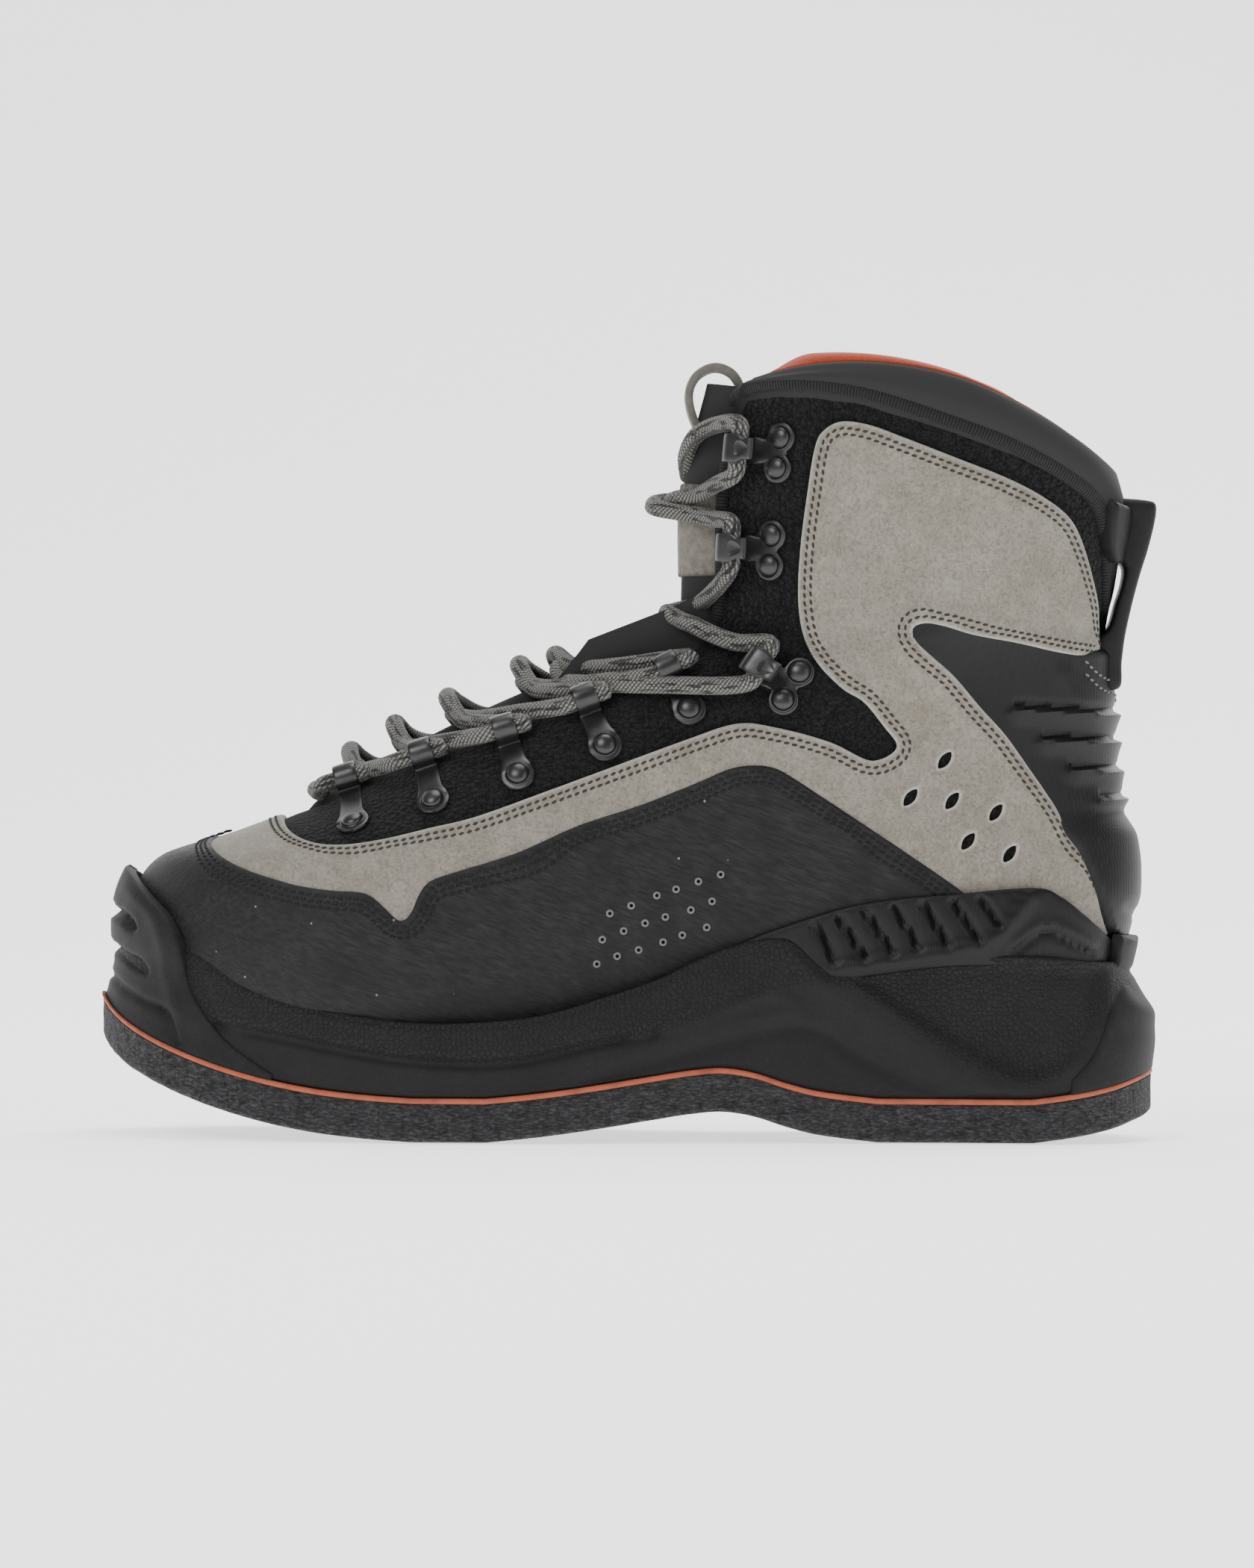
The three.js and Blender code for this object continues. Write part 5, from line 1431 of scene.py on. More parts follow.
@dataclass
class CollarUnit:
    """Padded collar, orange lining, binding and insole."""

    columns: int = 170
    bulge: float = 2.7
    roll_up: float = 2.4
    pad: float = 8.7
    pad_low: float = 7.2
    binding_half: float = 2.3
    binding_low: float = 9.7

    def turns(self, side: int) -> tuple[Array, Array]:
        """Turns from the throat to the heel, and the rim's level at each."""
        rim = np.vstack([LAST.throat(side, THROAT_LOW, THROAT_HIGH)[-1:], LAST.line(RIM, side),
                         [[side * math.pi, HEEL_NOTCH]]])
        rim[:, 0] = np.maximum.accumulate(np.abs(rim[:, 0]))
        fine = np.linspace(rim[0, 0], math.pi, 600)
        top = LAST.bare(side * fine, np.full(600, float(RING_TOP)))
        at = evened(fine[:, None], top, np.linalg.norm(np.diff(top, axis=0), axis=1).sum() / self.columns)[:, 0]
        return side * at, np.interp(at, rim[:, 0], rim[:, 1])

    def section(self, side: int) -> tuple[Array, Array]:
        """Rings of the padding and of the lining on one side, from the throat to the heel."""
        turn, rim = self.turns(side)
        top = float(RING_TOP)

        def put(level: Array | float, out: Array | float, lift: float = 0.0) -> Array:
            """One point of every ring."""
            placed = LAST.place(turn, np.broadcast_to(level, len(turn)).astype(float), out)
            return placed + (0, 0, lift)

        pad = [put(rim - .12, .1)]
        for s in np.linspace(.06, 1, 12):
            pad.append(put(rim + (top - rim) * s, self.bulge * math.sin(math.pi * min(s * .93 + .03, 1)) ** .8 + .3))
        middle = .3 - self.pad / 2
        for a in np.linspace(.12, 1, 8) * math.pi:
            pad.append(put(top, middle + self.pad / 2 * math.cos(a), self.roll_up * math.sin(a)))
        inner = np.linspace(top, self.pad_low, 12)[1:]
        pad += [put(v, -self.pad + .3) for v in inner]
        pad += [put(self.pad_low - .3, -self.pad + 3), put(self.pad_low - .2, -SIZES.wall - .5)]
        pad += [put(self.pad_low + (rim - .4 - self.pad_low) * s, -SIZES.wall - .2) for s in (.25, .5, .75, 1)]
        face = [put(top, middle + (self.pad / 2 + .5) * math.cos(a), (self.roll_up + .5) * math.sin(a))
                for a in np.linspace(.48, 1, 6) * math.pi]
        face += [put(v, -self.pad - .25) for v in inner]
        face += [put(v, out) for v, out in ((6.4, -6.5), (5.6, -3.6), (4, -3), (2, -3), (.9, -3.2))]
        back = [put(v, out) for v, out in ((.9, -2.6), (2, -2.5), (4, -2.5), (5.6, -2.8), (6.4, -5.6))]
        back += [put(v, -self.pad + .5) for v in inner[::-1]]
        back += [put(top, middle + (self.pad / 2 - .3) * math.cos(a), (self.roll_up - .4) * math.sin(a))
                 for a in np.linspace(1, .5, 6) * math.pi]
        return np.stack(pad, 1), np.stack(face + back, 1)

    def skins(self) -> None:
        """Builds padding and lining right round the collar."""
        outer, inner = self.section(-1), self.section(1)
        for number, name, finish, slot, nodes in (
                (0, "collar_pad", SPACER, "spacer_mesh", ("collar_padding",)),
                (1, "collar_lining", LINING, "foxing", ())):
            rows = np.vstack([outer[number], inner[number][::-1][1:]])
            ends = np.minimum(np.arange(len(rows)), np.arange(len(rows))[::-1])
            share = (.62 + .38 * ease(ends / 4))[:, None, None]
            middle = rows.mean(1, keepdims=True)
            rows = middle + (rows - middle) * share if number == 0 else rows
            run = run_of(rows[:, 12])
            around = np.stack([run_of(ring) for ring in rows])
            sheet = np.stack([np.broadcast_to(run[:, None], around.shape), around, 0 * around], -1)
            piece(name, tube(rows, {"sheet": sheet}), finish, slot, *nodes, fill=.8 if number == 0 else None)

    def binding(self) -> None:
        """Builds the grosgrain tape round the shell's edge."""
        halves = []
        for side in (-1, 1):
            throat = LAST.throat(side, THROAT_LOW, THROAT_HIGH)
            throat = throat[throat[:, 1] > self.binding_low]
            halves.append(np.vstack([throat, LAST.line(RIM, side)]))
        run = np.vstack([halves[0], [[-math.pi, HEEL_NOTCH + .05]], halves[1][::-1]])[::3]
        point, _, _, normal = LAST.frame(*run.T)
        line, up = flowing(point + normal * .5, .8), normal
        at = np.linspace(0, 1, len(line))
        up = np.stack([np.interp(at, np.linspace(0, 1, len(up)), c) for c in up.T], 1)
        piece("collar_binding", swept(line, up, self.binding_half, 1.7, 12, .8), BINDING, "spacer_mesh")

    def insole(self) -> None:
        """Builds the insole."""
        turns = even_turns(LAST, 0, 120)
        plan = LAST.place(turns, np.zeros(len(turns)), -3.2)
        rows = []
        for inset, rise in ((0, .3), (0, 3.6), (.5, 4.4), (1.4, 4.8)):
            ring = LAST.place(turns, np.zeros(len(turns)), -3.2 - inset) if inset else plan.copy()
            ring[:, 2] = SOLE.footbed(share_of(ring[:, 0])) + rise
            rows.append(ring)
        piece("insole_board", tube(np.stack(rows), strips=True), BED_CLOTH, "insole_cloth", "insole")

    def build(self) -> None:
        """Builds the collar and what lies inside it."""
        self.skins()
        self.binding()
        self.insole()


TONGUE_RAISE = ((4.85, -3.2), (5.03, -2.9), (5.25, .6), (5.6, 2.6), (7, 4.2), (9, 4.8), (10, 6.2), (11, 8.2), (12.3, 8.8), (13, 8.2))


def tongue_out(turn: Array, level: Array) -> Array:
    """How far the tongue's face lies outside the upper's surface."""
    edge = LAST.throat(1, THROAT_LOW, float(RING_TOP))
    wide = np.interp(level, edge[:, 1], edge[:, 0]) + 1e-3
    share = ease((1.02 - np.abs(turn) / wide) / .8)
    return -3.0 + (smooth_at(TONGUE_RAISE, level) + 3.0) * share


@dataclass
class TongueUnit:
    """Padded tongue with its pull loop and patch, and the heel's pull tab."""

    rows: int = 90
    columns: int = 34
    thickness: float = 4.2
    wing: float = 9.0
    loop_half: float = 7.5
    loop_sheet: float = 2.6
    tab_half: float = 10.0
    loop_line: Shares = ((.588, .880), (.572, .905), (.560, .935), (.5565, .965), (.564, .988), (.581, .999),
                         (.598, .990), (.607, .965), (.606, .935))
    tab_line: Shares = ((.947, .826), (.951, .831), (.965, .831), (.992, .828), (.9995, .822), (.9985, .80),
                        (.992, .763), (.985, .732), (.977, .69), (.971, .651), (.968, .618), (.966, .585),
                        (.946, .585), (.940, .61), (.940, .640), (.946, .652), (.956, .664), (.963, .696),
                        (.968, .718), (.970, .738), (.966, .748), (.958, .754), (.951, .760), (.947, .766))

    def tongue(self) -> None:
        """Builds the padded tongue."""
        edge = LAST.throat(1, THROAT_LOW, float(RING_TOP), self.wing)
        rings = []
        for v in np.linspace(4.9, RING_TOP, self.rows):
            wide = float(np.interp(v, edge[:, 1], edge[:, 0]))
            turn = wide * np.linspace(-1, 1, self.columns)
            level = np.full(self.columns, v)
            out = tongue_out(turn, level)
            thin = self.thickness * (.35 + .65 * min(1, (RING_TOP - v) / .18 + .1))
            face = LAST.place(turn, level, out)
            back = LAST.place(turn, level, out - thin * np.clip(1.25 - np.abs(turn / wide) ** 6, .3, 1))
            rings.append(np.vstack([face, back[::-1]]))
        rows = np.stack(rings)
        arc = np.stack([run_of(ring) for ring in rows])
        rise = run_of(rows[:, 17])
        sheet = np.stack([arc, np.broadcast_to(rise[:, None], arc.shape), 0 * arc], -1)
        piece("padded_tongue", tube(rows, {"sheet": sheet}), SPACER, "spacer_mesh", "tongue", fill=.5)

    def patch(self) -> None:
        """Builds the leather patch sewn to the tongue's face."""
        level = np.linspace(11.15, 12.05, 20)
        left = np.stack([np.full(20, -.40), level], 1)
        right = np.stack([np.full(20, .40), level[::-1]], 1)
        top = np.stack([np.linspace(-.4, .4, 24), np.full(24, 12.05)], 1)[1:-1]
        low = np.stack([np.linspace(.4, -.4, 24), np.full(24, 11.15)], 1)[1:-1]
        panel = Panel(LAST, np.vstack([left, top, right, low]), 0, 1.3, 1.6, .6)
        stock = panel.stock()
        at = stock.marks["sheet"][:, :2] / SHEET_SCALE
        _, _, _, normal = LAST.frame(*at.T)
        stock.points = stock.points + normal * (tongue_out(*at.T) - .3)[:, None]
        piece("tongue_patch", stock, STRAP, "nubuck")

    def loop(self) -> None:
        """Builds the pull loop on the tongue."""
        line = flowing(np.array(self.loop_line) * VIEW, .8)
        points = np.stack([line[:, 0] + TOE, 0 * line[:, 0], line[:, 1]], 1)
        way = np.gradient(points, axis=0)
        normals = np.cross(way, (0, 1, 0))
        stock = swept(points, normals, self.loop_half, self.loop_sheet / 2, 26, .35)
        stock.marks["edge_mm"] = self.loop_half - np.abs(stock.points[:, 1]) + .3
        piece("pull_loop", stock, STRAP, "nubuck", "tongue_pull_loop")

    def tab(self) -> None:
        """Builds the moulded pull tab behind the heel."""
        line = flowing(np.array(self.tab_line) * VIEW, .9, closed=True)
        line[:, 0] += TOE
        form = Plane(np.zeros(3), np.array((1.0, 0, 0)), np.array((0, 1.0, 0)))
        panel = Panel(form, line, -self.tab_half, self.tab_half, 1.6, 2.2, both=True)
        piece("heel_tab", panel.stock(), TPU_SMOOTH, "moulded", "heel_pull_tab")

    def wrap(self) -> None:
        """Builds the tab's block, which wraps the back of the collar."""
        rings = []
        for side in (-1, 1):
            at = LAST.locate(np.array((.948, .944, .944, .946)), np.array((.748, .77, .80, .826)), side)
            rings.append(flowing(np.stack([at[:, 0] % (2 * math.pi), at[:, 1]], 1), .02))
        outline = np.vstack([rings[0], rings[1][::-1]])
        outline = evened(ringed(outline), LAST.bare(*ringed(outline).T), 1.0)
        piece("heel_tab_wrap", Panel(LAST, outline[:-1], .8, 5.4, 1.6, 1.5).stock(), TPU_SMOOTH, "moulded")

    def build(self) -> None:
        """Builds tongue and tabs."""
        self.wrap()
        self.tongue()
        self.patch()
        self.loop()
        self.tab()


# Lacing

@dataclass(frozen=True)
class Anchor:
    """Where the lace passes one loop or hook: its plane, centre and surface coordinates."""

    plane: Plane
    centre: Array
    at: Array
    reach: float

    def exit(self, upper: bool) -> Array:
        """The lace's centre beside the anchor, on its heel or upper side, or on the other."""
        way = self.plane.across * self.sign(upper)
        return self.centre + way * self.reach

    def sign(self, upper: bool) -> float:
        """Which way along the plane's cross axis the heel or upper side lies."""
        rising = self.plane.across @ np.array((1.0, 0, 1.0))
        return (1.0 if rising > 0 else -1.0) * (1.0 if upper else -1.0)

    def chart(self, upper: bool) -> Array:
        """Surface coordinates below an exit."""
        return LAST.march(self.at[None], (self.plane.across * self.sign(upper) * self.reach)[None])[0]


@dataclass
class LacingUnit:
    """Loops, hooks and the braided lace."""

    sheet: float = 1.3
    lace_out: float = 4.8
    rivet: float = 3.2
    dome: float = 2.0
    loops: tuple[tuple[float, float, float, float], ...] = (
        (.244, .403, .239, .444), (.319, .432, .311, .477), (.398, .466, .388, .511), (.479, .505, .463, .552),
        (.558, .552, .541, .594))
    # Two rivets and the nose of each hook
    hooks: tuple[tuple[float, float, float, float, float, float], ...] = (
        (.661, .600, .646, .564, .622, .606), (.636, .777, .634, .738, .604, .762),
        (.644, .902, .641, .863, .611, .887))
    anchors: dict[tuple[int, int], Anchor] = field(default_factory=dict)

    def domed(self, plane: Plane, along: float, across: float, base: float) -> Stock:
        """A domed rivet on a plate."""
        profile = [(self.rivet + .55, base - .8), (self.rivet + .55, base + .25), (self.rivet + .3, base + .42),
                   (self.rivet + .02, base + .25), (self.rivet, base + .5)]
        profile += [(self.rivet * math.cos(a), base + .5 + (self.dome - .5) * math.sin(a))
                    for a in np.linspace(.2, 1.45, 7)]
        angle = np.linspace(0, 2 * math.pi, 26, endpoint=False)
        rows = [plane.solid(np.stack([along + r * np.cos(angle), np.full(26, h), across + r * np.sin(angle)], 1))
                for r, h in profile]
        return tube(np.stack(rows))

    def band(self, plane: Plane, line: Sequence[tuple[float, float]], widths: Callable[[Array], Array]) -> Stock:
        """A bent strip of sheet drawn in a plane's side view, with half widths by its run."""
        flat = flowing(line, .5)
        points = plane.solid(np.stack([flat[:, 0], flat[:, 1], 0 * flat[:, 0]], 1))
        way = np.gradient(points, axis=0)
        run = run_of(points)
        return swept(points, np.cross(way, plane.across), widths(run), self.sheet / 2, 18, .45)

    def loop(self, number: int, side: int) -> None:
        """Builds one folded lace loop."""
        a, u, fold_a, fold_u = self.loops[number]
        at, fold = (LAST.locate(*p, side)[0] for p in ((a, u), (fold_a, fold_u)))
        point, _, _, normal = (v[0] for v in LAST.frame(*at[None].T))
        fold_point, _, _, fold_normal = (v[0] for v in LAST.frame(*fold[None].T))
        centre = fold_point + fold_normal * self.lace_out
        plane = Plane(point, fold_point - point, normal)
        along, out = (centre - point) @ plane.along, (centre - point) @ plane.out
        radius = SIZES.lace / 2 + .5 + self.sheet / 2
        line = [(-4.9, .9), (-2.5, .9), (0, .9), (3.2, 1.0), (along - radius - .9, out - 2.6)]
        line += [(along + radius * math.cos(b), out + radius * math.sin(b))
                 for b in np.radians((170, 140, 110, 80, 50, 20, -10, -40, -65))]

        def widths(run: Array) -> Array:
            """Round plate, narrowing neck and even fold."""
            return smooth_at(((0, .9), (.5, 2.4), (1.4, 3.6), (3.2, 4.7), (4.9, 5.0), (7.2, 4.5), (9.5, 3.8),
                          (13, 3.5), (40, 3.4)), run)

        stock = self.band(plane, line, widths).joined(self.domed(plane, 0, 0, 1.5))
        name = SIDE_NAMES[side]
        piece(f"lace_loop_{name}_{number + 1}", stock, ENAMEL, "hardware", f"eyelet_{name}_{number + 1}")
        self.anchors[number, side] = Anchor(plane, centre, fold, 3.5 + SIZES.lace / 2 + .5)

    def hook(self, number: int, side: int) -> None:
        """Builds one hook with its riveted plate."""
        a, u, low_a, low_u, nose_a, nose_u = self.hooks[number]
        places = [LAST.locate(*p, side)[0] for p in ((a, u), (low_a, low_u), (nose_a, nose_u))]
        first, second, nose = (LAST.bare(*p[None].T)[0] for p in places)
        middle = LAST.locate((a + low_a) / 2 - .006, (u + low_u) / 2 + .002, side)[0]
        point, _, _, normal = (v[0] for v in LAST.frame(*middle[None].T))
        plane = Plane(point, nose - point, normal)
        flat = [np.array(((p - point) @ plane.along, (p - point) @ plane.across)) for p in (first, second)]
        reach = float((nose - point) @ plane.along)
        discs = [(*flat[0], 4.6), (*flat[1], 4.6), (reach - 4.2, 0, 4.2)]
        angle = np.linspace(0, 2 * math.pi, 90, endpoint=False)
        ray = np.stack([np.cos(angle), np.sin(angle)], 1)
        size = np.full(90, 3.6)
        for x, y, r in discs:
            onward, aside = ray @ (x, y), ray @ (-y, x)
            hit = (np.abs(aside) < r) & (onward > -r)
            size = np.where(hit, np.maximum(size, onward + np.sqrt(np.maximum(r * r - aside ** 2, 0))), size)
        size = sum(np.roll(size, k) * w for k, w in zip(range(-3, 4), (.06, .12, .2, .24, .2, .12, .06)))
        outline = ray * size[:, None]
        outline = evened(ringed(outline), ringed(outline), .7)[:-1]
        plate = Panel(plane, outline, -1.2, 1.5, 1.3, .55).stock()
        plate = Stock(plate.points, plate.faces, {"sheet": plate.marks["sheet"]})
        high = 4.9
        line = [(reach - 9, .9), (reach - 5, .9), (reach - 2, 1.1)]
        line += [(reach + 3.5 * math.cos(b), high + 3.5 * math.sin(b)) for b in np.radians((-70, -35, 0, 35, 70))]
        line += [(reach - 2.5, high + 3.6), (reach - 5.5, high + 3.7), (reach - 7.4, high + 4.3)]
        hook = self.band(plane, line, lambda run: smooth_at(((0, 3.4), (4, 3.9), (12, 4.1), (18, 4.2), (22, 4.3),
                                                             (24.5, 3.2)), run))
        stud = self.boss(plane, reach - 3.4, high + 4.0)
        stock = plate.joined(hook, stud, *(self.domed(plane, *f, 1.4) for f in flat))
        name = SIDE_NAMES[side]
        piece(f"lace_hook_{name}_{number + 1}", stock, ENAMEL, "hardware", f"hook_{name}_{number + 1}")
        centre = plane.solid(np.array((reach - .2, high, 0.0)))
        self.anchors[number + len(self.loops), side] = Anchor(plane, centre, places[2], 4.2 + SIZES.lace / 2 + .4)

    def boss(self, plane: Plane, along: float, out: float) -> Stock:
        """The raised round-nosed field pressed into a hook's top."""
        angle = np.linspace(0, 2 * math.pi, 24, endpoint=False)
        nose = np.stack([-2.6 * np.cos(angle) * (1 + .25 * np.cos(angle)), 2.3 * np.sin(angle)
                         * (1 - .3 * np.cos(angle))], 1)
        rows = [plane.solid(np.stack([along + nose[:, 0] * s, np.full(24, out + h), nose[:, 1] * s], 1))
                for s, h in ((1, -.3), (1, .45), (.93, .62), (.8, .5), (.3, .42))]
        return tube(np.stack(rows))

    def crossing(self, start: Anchor, end: Anchor, over: float) -> Array:
        """The lace's points over the tongue between two anchors, without its ends."""
        a, b = start.chart(True), end.chart(False)
        share = np.array((.16, .3, .42, .5, .58, .7, .84))
        at = a + (b - a) * share[:, None]
        out = np.maximum(tongue_out(*at.T), .4) + SIZES.lace / 2 + .3
        ends = 4 * share * (1 - share)
        out = self.lace_out * (1 - ends) + out * ends + over * np.exp(-((share - .5) / .17) ** 2)
        out = np.maximum(out, np.maximum(tongue_out(*at.T), 0) + SIZES.lace / 2 + .15)
        return LAST.place(*at.T, out)

    def path(self) -> Array:
        """The whole lace, from the first outer loop up both sides and back to it."""
        last = len(self.loops) + len(self.hooks) - 1

        def climb(side: int, over: float) -> list[Array]:
            """One half of the lace, from its first loop to the top hook's upper exit."""
            points: list[Array] = []
            for number in range(last + 1):
                now = self.anchors[number, side]
                points += [now.exit(False)] if number else []
                points += [now.centre, now.exit(True)]
                if number < last:
                    lift = over if number % 2 else (SIZES.lace + .2 - over)
                    points += list(self.crossing(now, self.anchors[number + 1, -side], lift))
                    side = -side
            return points

        first = climb(-1, 0.0)
        other = climb(1, SIZES.lace + .2)
        top = np.array(((.582, .921, -17), (.563, .908, -12), (.5545, .885, -7), (.556, .862, -2),
                        (.5565, .862, 3), (.556, .878, 8), (.564, .897, 13), (.583, .907, 18)))
        top = top * (SIZES.length, SIZES.height, 1)
        front = np.stack([top[:, 0] + TOE, top[:, 2], top[:, 1]], 1)
        # The strand between the top hooks runs from the side where the first half ends
        front = front if first[-1][1] < 0 else front[::-1]
        bar_at = [self.anchors[0, s].chart(False) for s in (1, -1)]
        share = np.array((.2, .4, .5, .6, .8))[:, None]
        bar = bar_at[0] + (bar_at[1] - bar_at[0]) * share
        bar_points = LAST.place(*bar.T, np.maximum(tongue_out(*bar.T), .3) + SIZES.lace / 2 + .4)
        start = self.anchors[0, -1]
        return np.vstack([np.array(first), front, np.array(other)[::-1],
                          self.anchors[0, 1].exit(False), bar_points, start.exit(False), start.centre])

    def lace(self) -> None:
        """Builds the braided lace."""
        line = flowing(self.path(), .9)
        normals = np.stack([0 * line[:, 0] - 12, line[:, 1], 0 * line[:, 0] + 22], 1)
        stock = swept(line, normals, SIZES.lace / 2 + .15, SIZES.lace / 2 - .1, 14, 1.0, 15.56)
        nodes = ["lace_bar"] + [f"lace_cross_{i}" for i in range(1, 8)]
        piece("braided_lace", stock, BRAID, "lace", *nodes)

    def build(self) -> None:
        """Builds hardware and lace."""
        for side in (-1, 1):
            for number in range(len(self.loops)):
                self.loop(number, side)
            for number in range(len(self.hooks)):
                self.hook(number, side)
        self.lace()


# Sewing

@dataclass
class Seams:
    """Stitches and vents, set by node trees along rows and on points."""

    pitch: float = 2.4
    length: float = 1.75
    width: float = .8
    slant: float = 12.0

    def tree(self, name: str, inputs: dict[str, float]) -> tuple[bpy.types.NodeTree, dict]:
        """An empty node tree with named inputs.

        Args:
            name: the tree's name.
            inputs: names and values of its number inputs.

        Returns:
            The tree, and the values by socket identifier.
        """
        made = bpy.data.node_groups.new(name, "GeometryNodeTree")
        made.interface.new_socket("Geometry", in_out="INPUT", socket_type="NodeSocketGeometry")
        values = {}
        for key, value in inputs.items():
            socket = made.interface.new_socket(key, in_out="INPUT", socket_type="NodeSocketFloat")
            values[socket.identifier] = value
        made.interface.new_socket("Geometry", in_out="OUTPUT", socket_type="NodeSocketGeometry")
        return made, values

    def ended(self, tree: bpy.types.NodeTree, copies: bpy.types.Node, finish: Finish) -> None:
        """Ends a tree with real copies in their finish."""
        real = node(tree, "GeometryNodeRealizeInstances", {"Geometry": copies.outputs[0]})
        dressed = node(tree, "GeometryNodeSetMaterial", {
            "Geometry": real.outputs[0], "Material": finish.material()})
        node(tree, "NodeGroupOutput", {"Geometry": dressed.outputs[0]})

    def grown(self, name: str, points: Array, normals: Array, edges: list[tuple[int, int]],
              tree: bpy.types.NodeTree, values: dict) -> bpy.types.Mesh:
        """The plain mesh that a tree makes from points with normals."""
        mesh = bpy.data.meshes.new(name)
        mesh.from_pydata((points * MM).tolist(), edges, [])
        layer = mesh.attributes.new("normal_out", "FLOAT_VECTOR", "POINT")
        layer.data.foreach_set("vector", normals.astype(np.float32).ravel())
        carrier = bpy.data.objects.new(name + "_carrier", mesh)
        bpy.context.scene.collection.objects.link(carrier)
        modifier = carrier.modifiers.new("grow", "NODES")
        modifier.node_group = tree
        for identifier, value in values.items():
            modifier[identifier] = value
        graph = bpy.context.evaluated_depsgraph_get()
        made = bpy.data.meshes.new_from_object(carrier.evaluated_get(graph))
        carrier.modifiers.clear()
        bpy.data.objects.remove(carrier)
        return made

    def stitches(self, colour: str, finish: Finish, rows: list[tuple[Array, Array]]) -> None:
        """Sews all rows of one thread."""
        tree, values = self.tree(f"stitch_{colour}", {
            "Pitch": self.pitch * MM, "Length": self.length * MM, "Width": self.width * MM,
            "Slant": math.radians(self.slant)})
        given = node(tree, "NodeGroupInput")
        curve = node(tree, "GeometryNodeMeshToCurve", {"Mesh": given.outputs["Geometry"]})
        even = node(tree, "GeometryNodeResampleCurve", {
            "Curve": curve.outputs[0], "Length": given.outputs["Pitch"]}, mode="LENGTH")
        half = node(tree, "ShaderNodeMath", {0: given.outputs["Length"], 1: .5}, operation="MULTIPLY").outputs[0]
        thin = node(tree, "ShaderNodeMath", {0: given.outputs["Width"], 1: .5}, operation="MULTIPLY").outputs[0]
        size = node(tree, "ShaderNodeCombineXYZ", {0: half, 1: thin, 2: thin})
        ball = node(tree, "GeometryNodeMeshIcoSphere", {"Radius": 1.0, "Subdivisions": 2})
        thread = node(tree, "GeometryNodeTransform", {"Geometry": ball.outputs["Mesh"], "Scale": size.outputs[0]})
        tangent = node(tree, "GeometryNodeInputTangent")
        normal = node(tree, "GeometryNodeInputNamedAttribute", {"Name": "normal_out"}, data_type="FLOAT_VECTOR")
        along = node(tree, "FunctionNodeAlignRotationToVector", {"Vector": tangent.outputs[0]}, axis="X")
        upright = node(tree, "FunctionNodeAlignRotationToVector", {
            "Rotation": along.outputs[0], "Vector": normal.outputs["Attribute"]}, axis="Z", pivot_axis="X")
        lean = node(tree, "ShaderNodeCombineXYZ", {2: given.outputs["Slant"]})
        turned = node(tree, "FunctionNodeRotateRotation", {
            "Rotation": upright.outputs[0], "Rotate By": lean.outputs[0]}, rotation_space="LOCAL")
        copies = node(tree, "GeometryNodeInstanceOnPoints", {
            "Points": even.outputs[0], "Instance": thread.outputs[0], "Rotation": turned.outputs[0]})
        self.ended(tree, copies, finish)
        points, normals, edges, start = [], [], [], 0
        for point, normal_out in rows:
            points.append(point)
            normals.append(normal_out)
            edges += [(start + i, start + i + 1) for i in range(len(point) - 1)]
            start += len(point)
        mesh = self.grown(f"stitches_{colour}", np.vstack(points), np.vstack(normals), edges, tree, values)
        mesh.polygons.foreach_set("use_smooth", [True] * len(mesh.polygons))
        piece(f"stitches_{colour}", mesh, finish, "nubuck" if colour == "grey" else "rubber")

    def vents(self, points: Array, normals: Array) -> None:
        """Sets the rand's small rimmed vents."""
        # The eye is a dark lens of painted shade, set where the vent's hole is; the rim is pale thread.
        for name, finish, radius, height in (("rim", PALE_THREAD, 1.15, .22), ("eye", SHADE, .72, .3)):
            tree, values = self.tree(f"vent_{name}", {"Radius": radius * MM, "Height": height * MM})
            given = node(tree, "NodeGroupInput")
            size = node(tree, "ShaderNodeCombineXYZ", {0: given.outputs["Radius"], 1: given.outputs["Radius"],
                                                       2: given.outputs["Height"]})
            ball = node(tree, "GeometryNodeMeshIcoSphere", {"Radius": 1.0, "Subdivisions": 3})
            lens = node(tree, "GeometryNodeTransform", {"Geometry": ball.outputs["Mesh"], "Scale": size.outputs[0]})
            normal = node(tree, "GeometryNodeInputNamedAttribute", {"Name": "normal_out"}, data_type="FLOAT_VECTOR")
            upright = node(tree, "FunctionNodeAlignRotationToVector", {"Vector": normal.outputs["Attribute"]},
                           axis="Z")
            copies = node(tree, "GeometryNodeInstanceOnPoints", {
                "Points": given.outputs["Geometry"], "Instance": lens.outputs[0], "Rotation": upright.outputs[0]})
            self.ended(tree, copies, finish)
            mesh = self.grown(f"vent_{name}", points, normals, [], tree, values)
            mesh.polygons.foreach_set("use_smooth", [True] * len(mesh.polygons))
            piece(f"rand_vent_{name}s", mesh, finish, "rubber")

    def sew(self, upper: "UpperUnit") -> None:
        """Sews every row that the upper asks for, and sets its vents."""
        for colour, finish in (("grey", GREY_THREAD), ("black", BLACK_THREAD), ("pale", PALE_THREAD)):
            self.stitches(colour, finish, [(p, n) for name, p, n in upper.rows if name == colour])
        self.vents(np.vstack([p for p, _ in upper.vents]), np.vstack([n for _, n in upper.vents]))


# Stage and camera

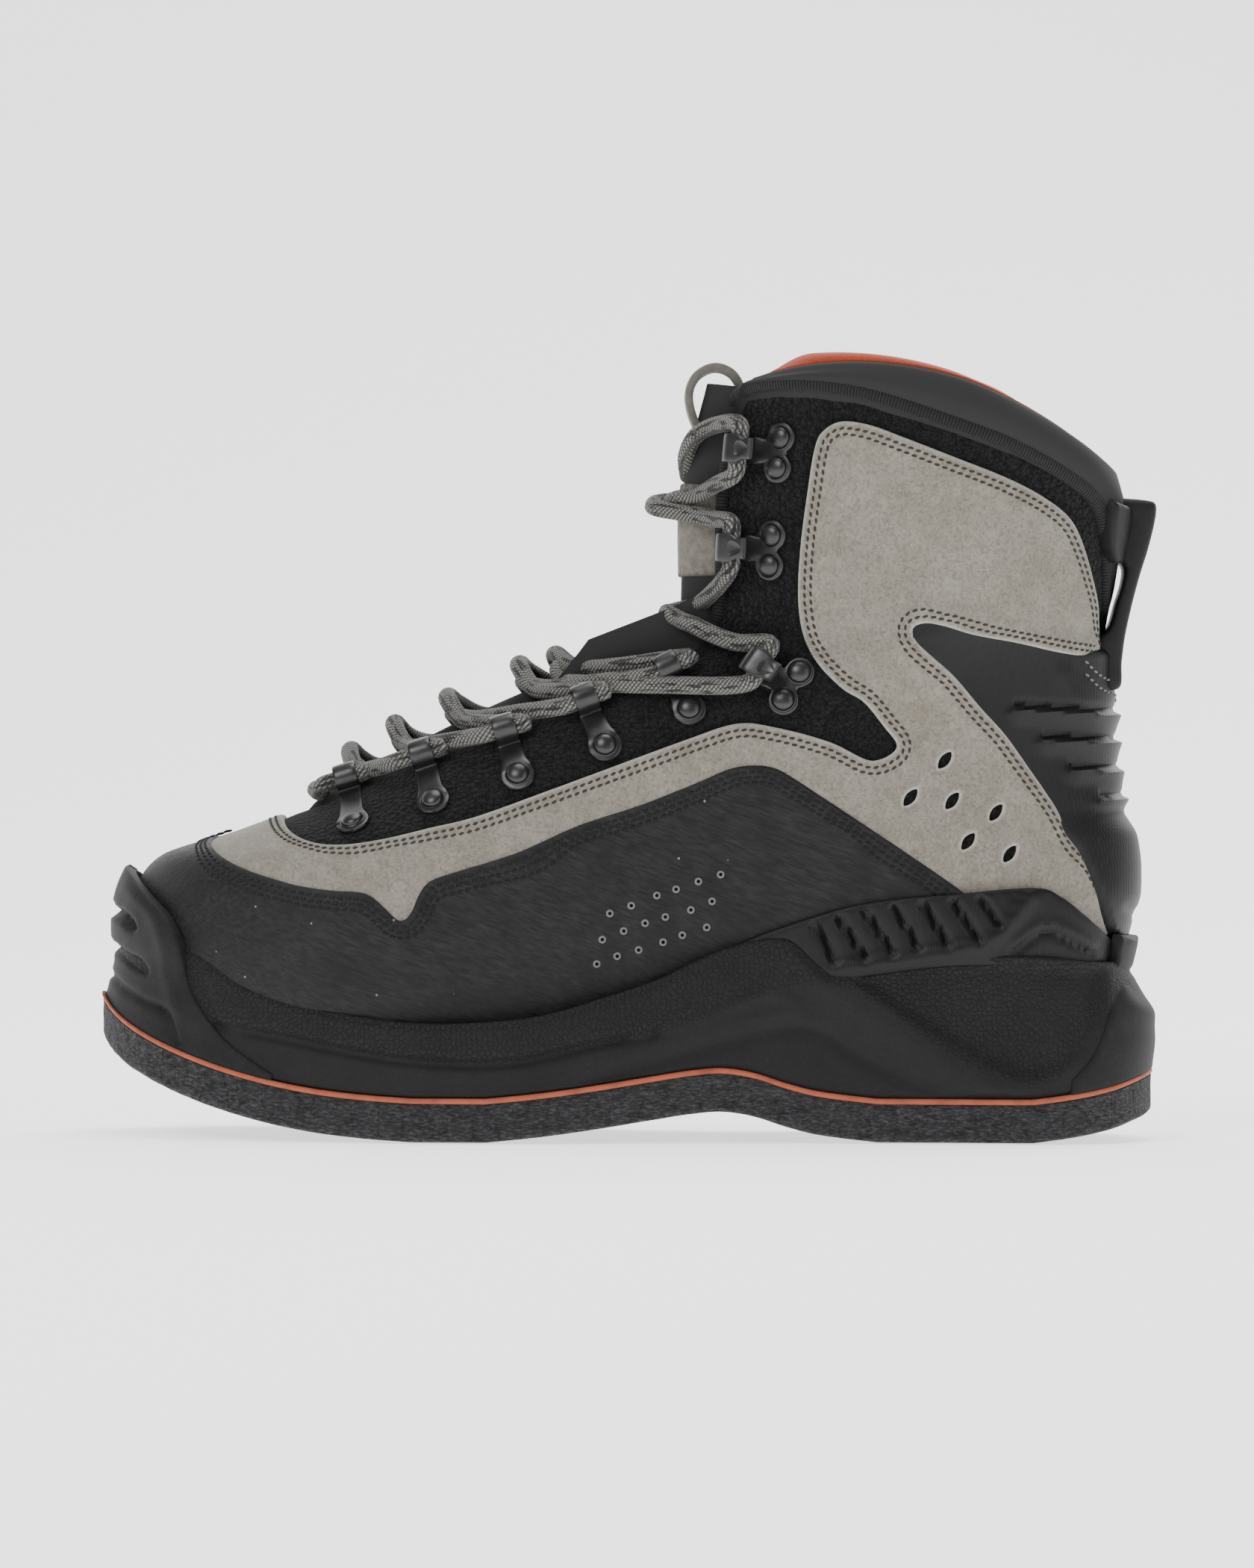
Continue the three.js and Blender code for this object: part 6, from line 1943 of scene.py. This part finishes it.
@dataclass
class Studio:
    """Camera, floor and lights."""

    distance: float = 2.2
    centre: tuple[float, float] = (-.1096, .105)
    lens: float = 168.65
    roll: float = .31

    def camera(self) -> None:
        """A level long lens that looks along +Y."""
        data = bpy.data.cameras.new("camera")
        data.lens, data.sensor_width, data.sensor_fit = self.lens, 36.0, "AUTO"
        data.clip_start, data.clip_end = .1, 50
        eye = bpy.data.objects.new("camera", data)
        look = Matrix.Translation((self.centre[0], -self.distance, self.centre[1]))
        turned = look @ Matrix.Rotation(math.pi / 2, 4, "X") @ Matrix.Rotation(math.radians(self.roll), 4, "Z")
        eye.matrix_world = turned
        bpy.context.scene.collection.objects.link(eye)
        bpy.context.scene.camera = eye

    def sweep(self) -> None:
        """A pale floor that curves up behind the boot."""
        profile = [(-14.0, 0), (1.2, 0)] + [(1.2 + 1.6 * math.sin(a), 1.6 - 1.6 * math.cos(a))
                                           for a in np.linspace(.1, math.pi / 2, 14)] + [(2.8, 4.5)]
        points = [(x, y, z - .0004) for y, z in profile for x in (-14, 14)]
        faces = [(2 * i, 2 * i + 1, 2 * i + 3, 2 * i + 2) for i in range(len(profile) - 1)]
        mesh = bpy.data.meshes.new("sweep")
        mesh.from_pydata(points, [], faces)
        mesh.polygons.foreach_set("use_smooth", [True] * len(faces))
        mesh.materials.append(SWEEP.material())
        floor = bpy.data.objects.new("sweep", mesh)
        bpy.context.scene.collection.objects.link(floor)

    def lights(self) -> None:
        """Soft boxes above, in front and behind, in a pale room."""
        for name, place, size, power in (
                ("key_light", (-1.3, -1.9, 1.7), 1.3, 40), ("fill_light", (1.7, -1.7, .9), 1.5, 14),
                ("top_light", (0, .1, 2.2), 1.6, 31), ("back_light", (.9, 1.5, 1.3), 1.2, 14)):
            data = bpy.data.lights.new(name, "AREA")
            data.shape, data.size, data.energy = "DISK", size, power
            lamp = bpy.data.objects.new(name, data)
            lamp.location = place
            way = Vector((-.1, 0, .1)) - Vector(place)
            lamp.rotation_euler = way.to_track_quat("-Z", "Y").to_euler()
            bpy.context.scene.collection.objects.link(lamp)
        world = bpy.data.worlds.new("room")
        world.use_nodes = True
        world.node_tree.nodes["Background"].inputs[0].default_value = linear("#ffffff")
        world.node_tree.nodes["Background"].inputs[1].default_value = .2
        bpy.context.scene.world = world

    def build(self) -> None:
        """Sets up camera, floor and lights."""
        self.camera()
        self.sweep()
        self.lights()


def main() -> None:
    """Builds the boot's sub-assemblies in order."""
    logging.basicConfig(level=logging.INFO, format="%(message)s")
    upper = UpperUnit()
    for unit in (Studio(), SoleUnit(), SoleEnds(), upper, CollarUnit(), TongueUnit(), LacingUnit()):
        log.info("%s", type(unit).__name__)
        unit.build()
    Seams().sew(upper)


if __name__ == "__main__":
    main()
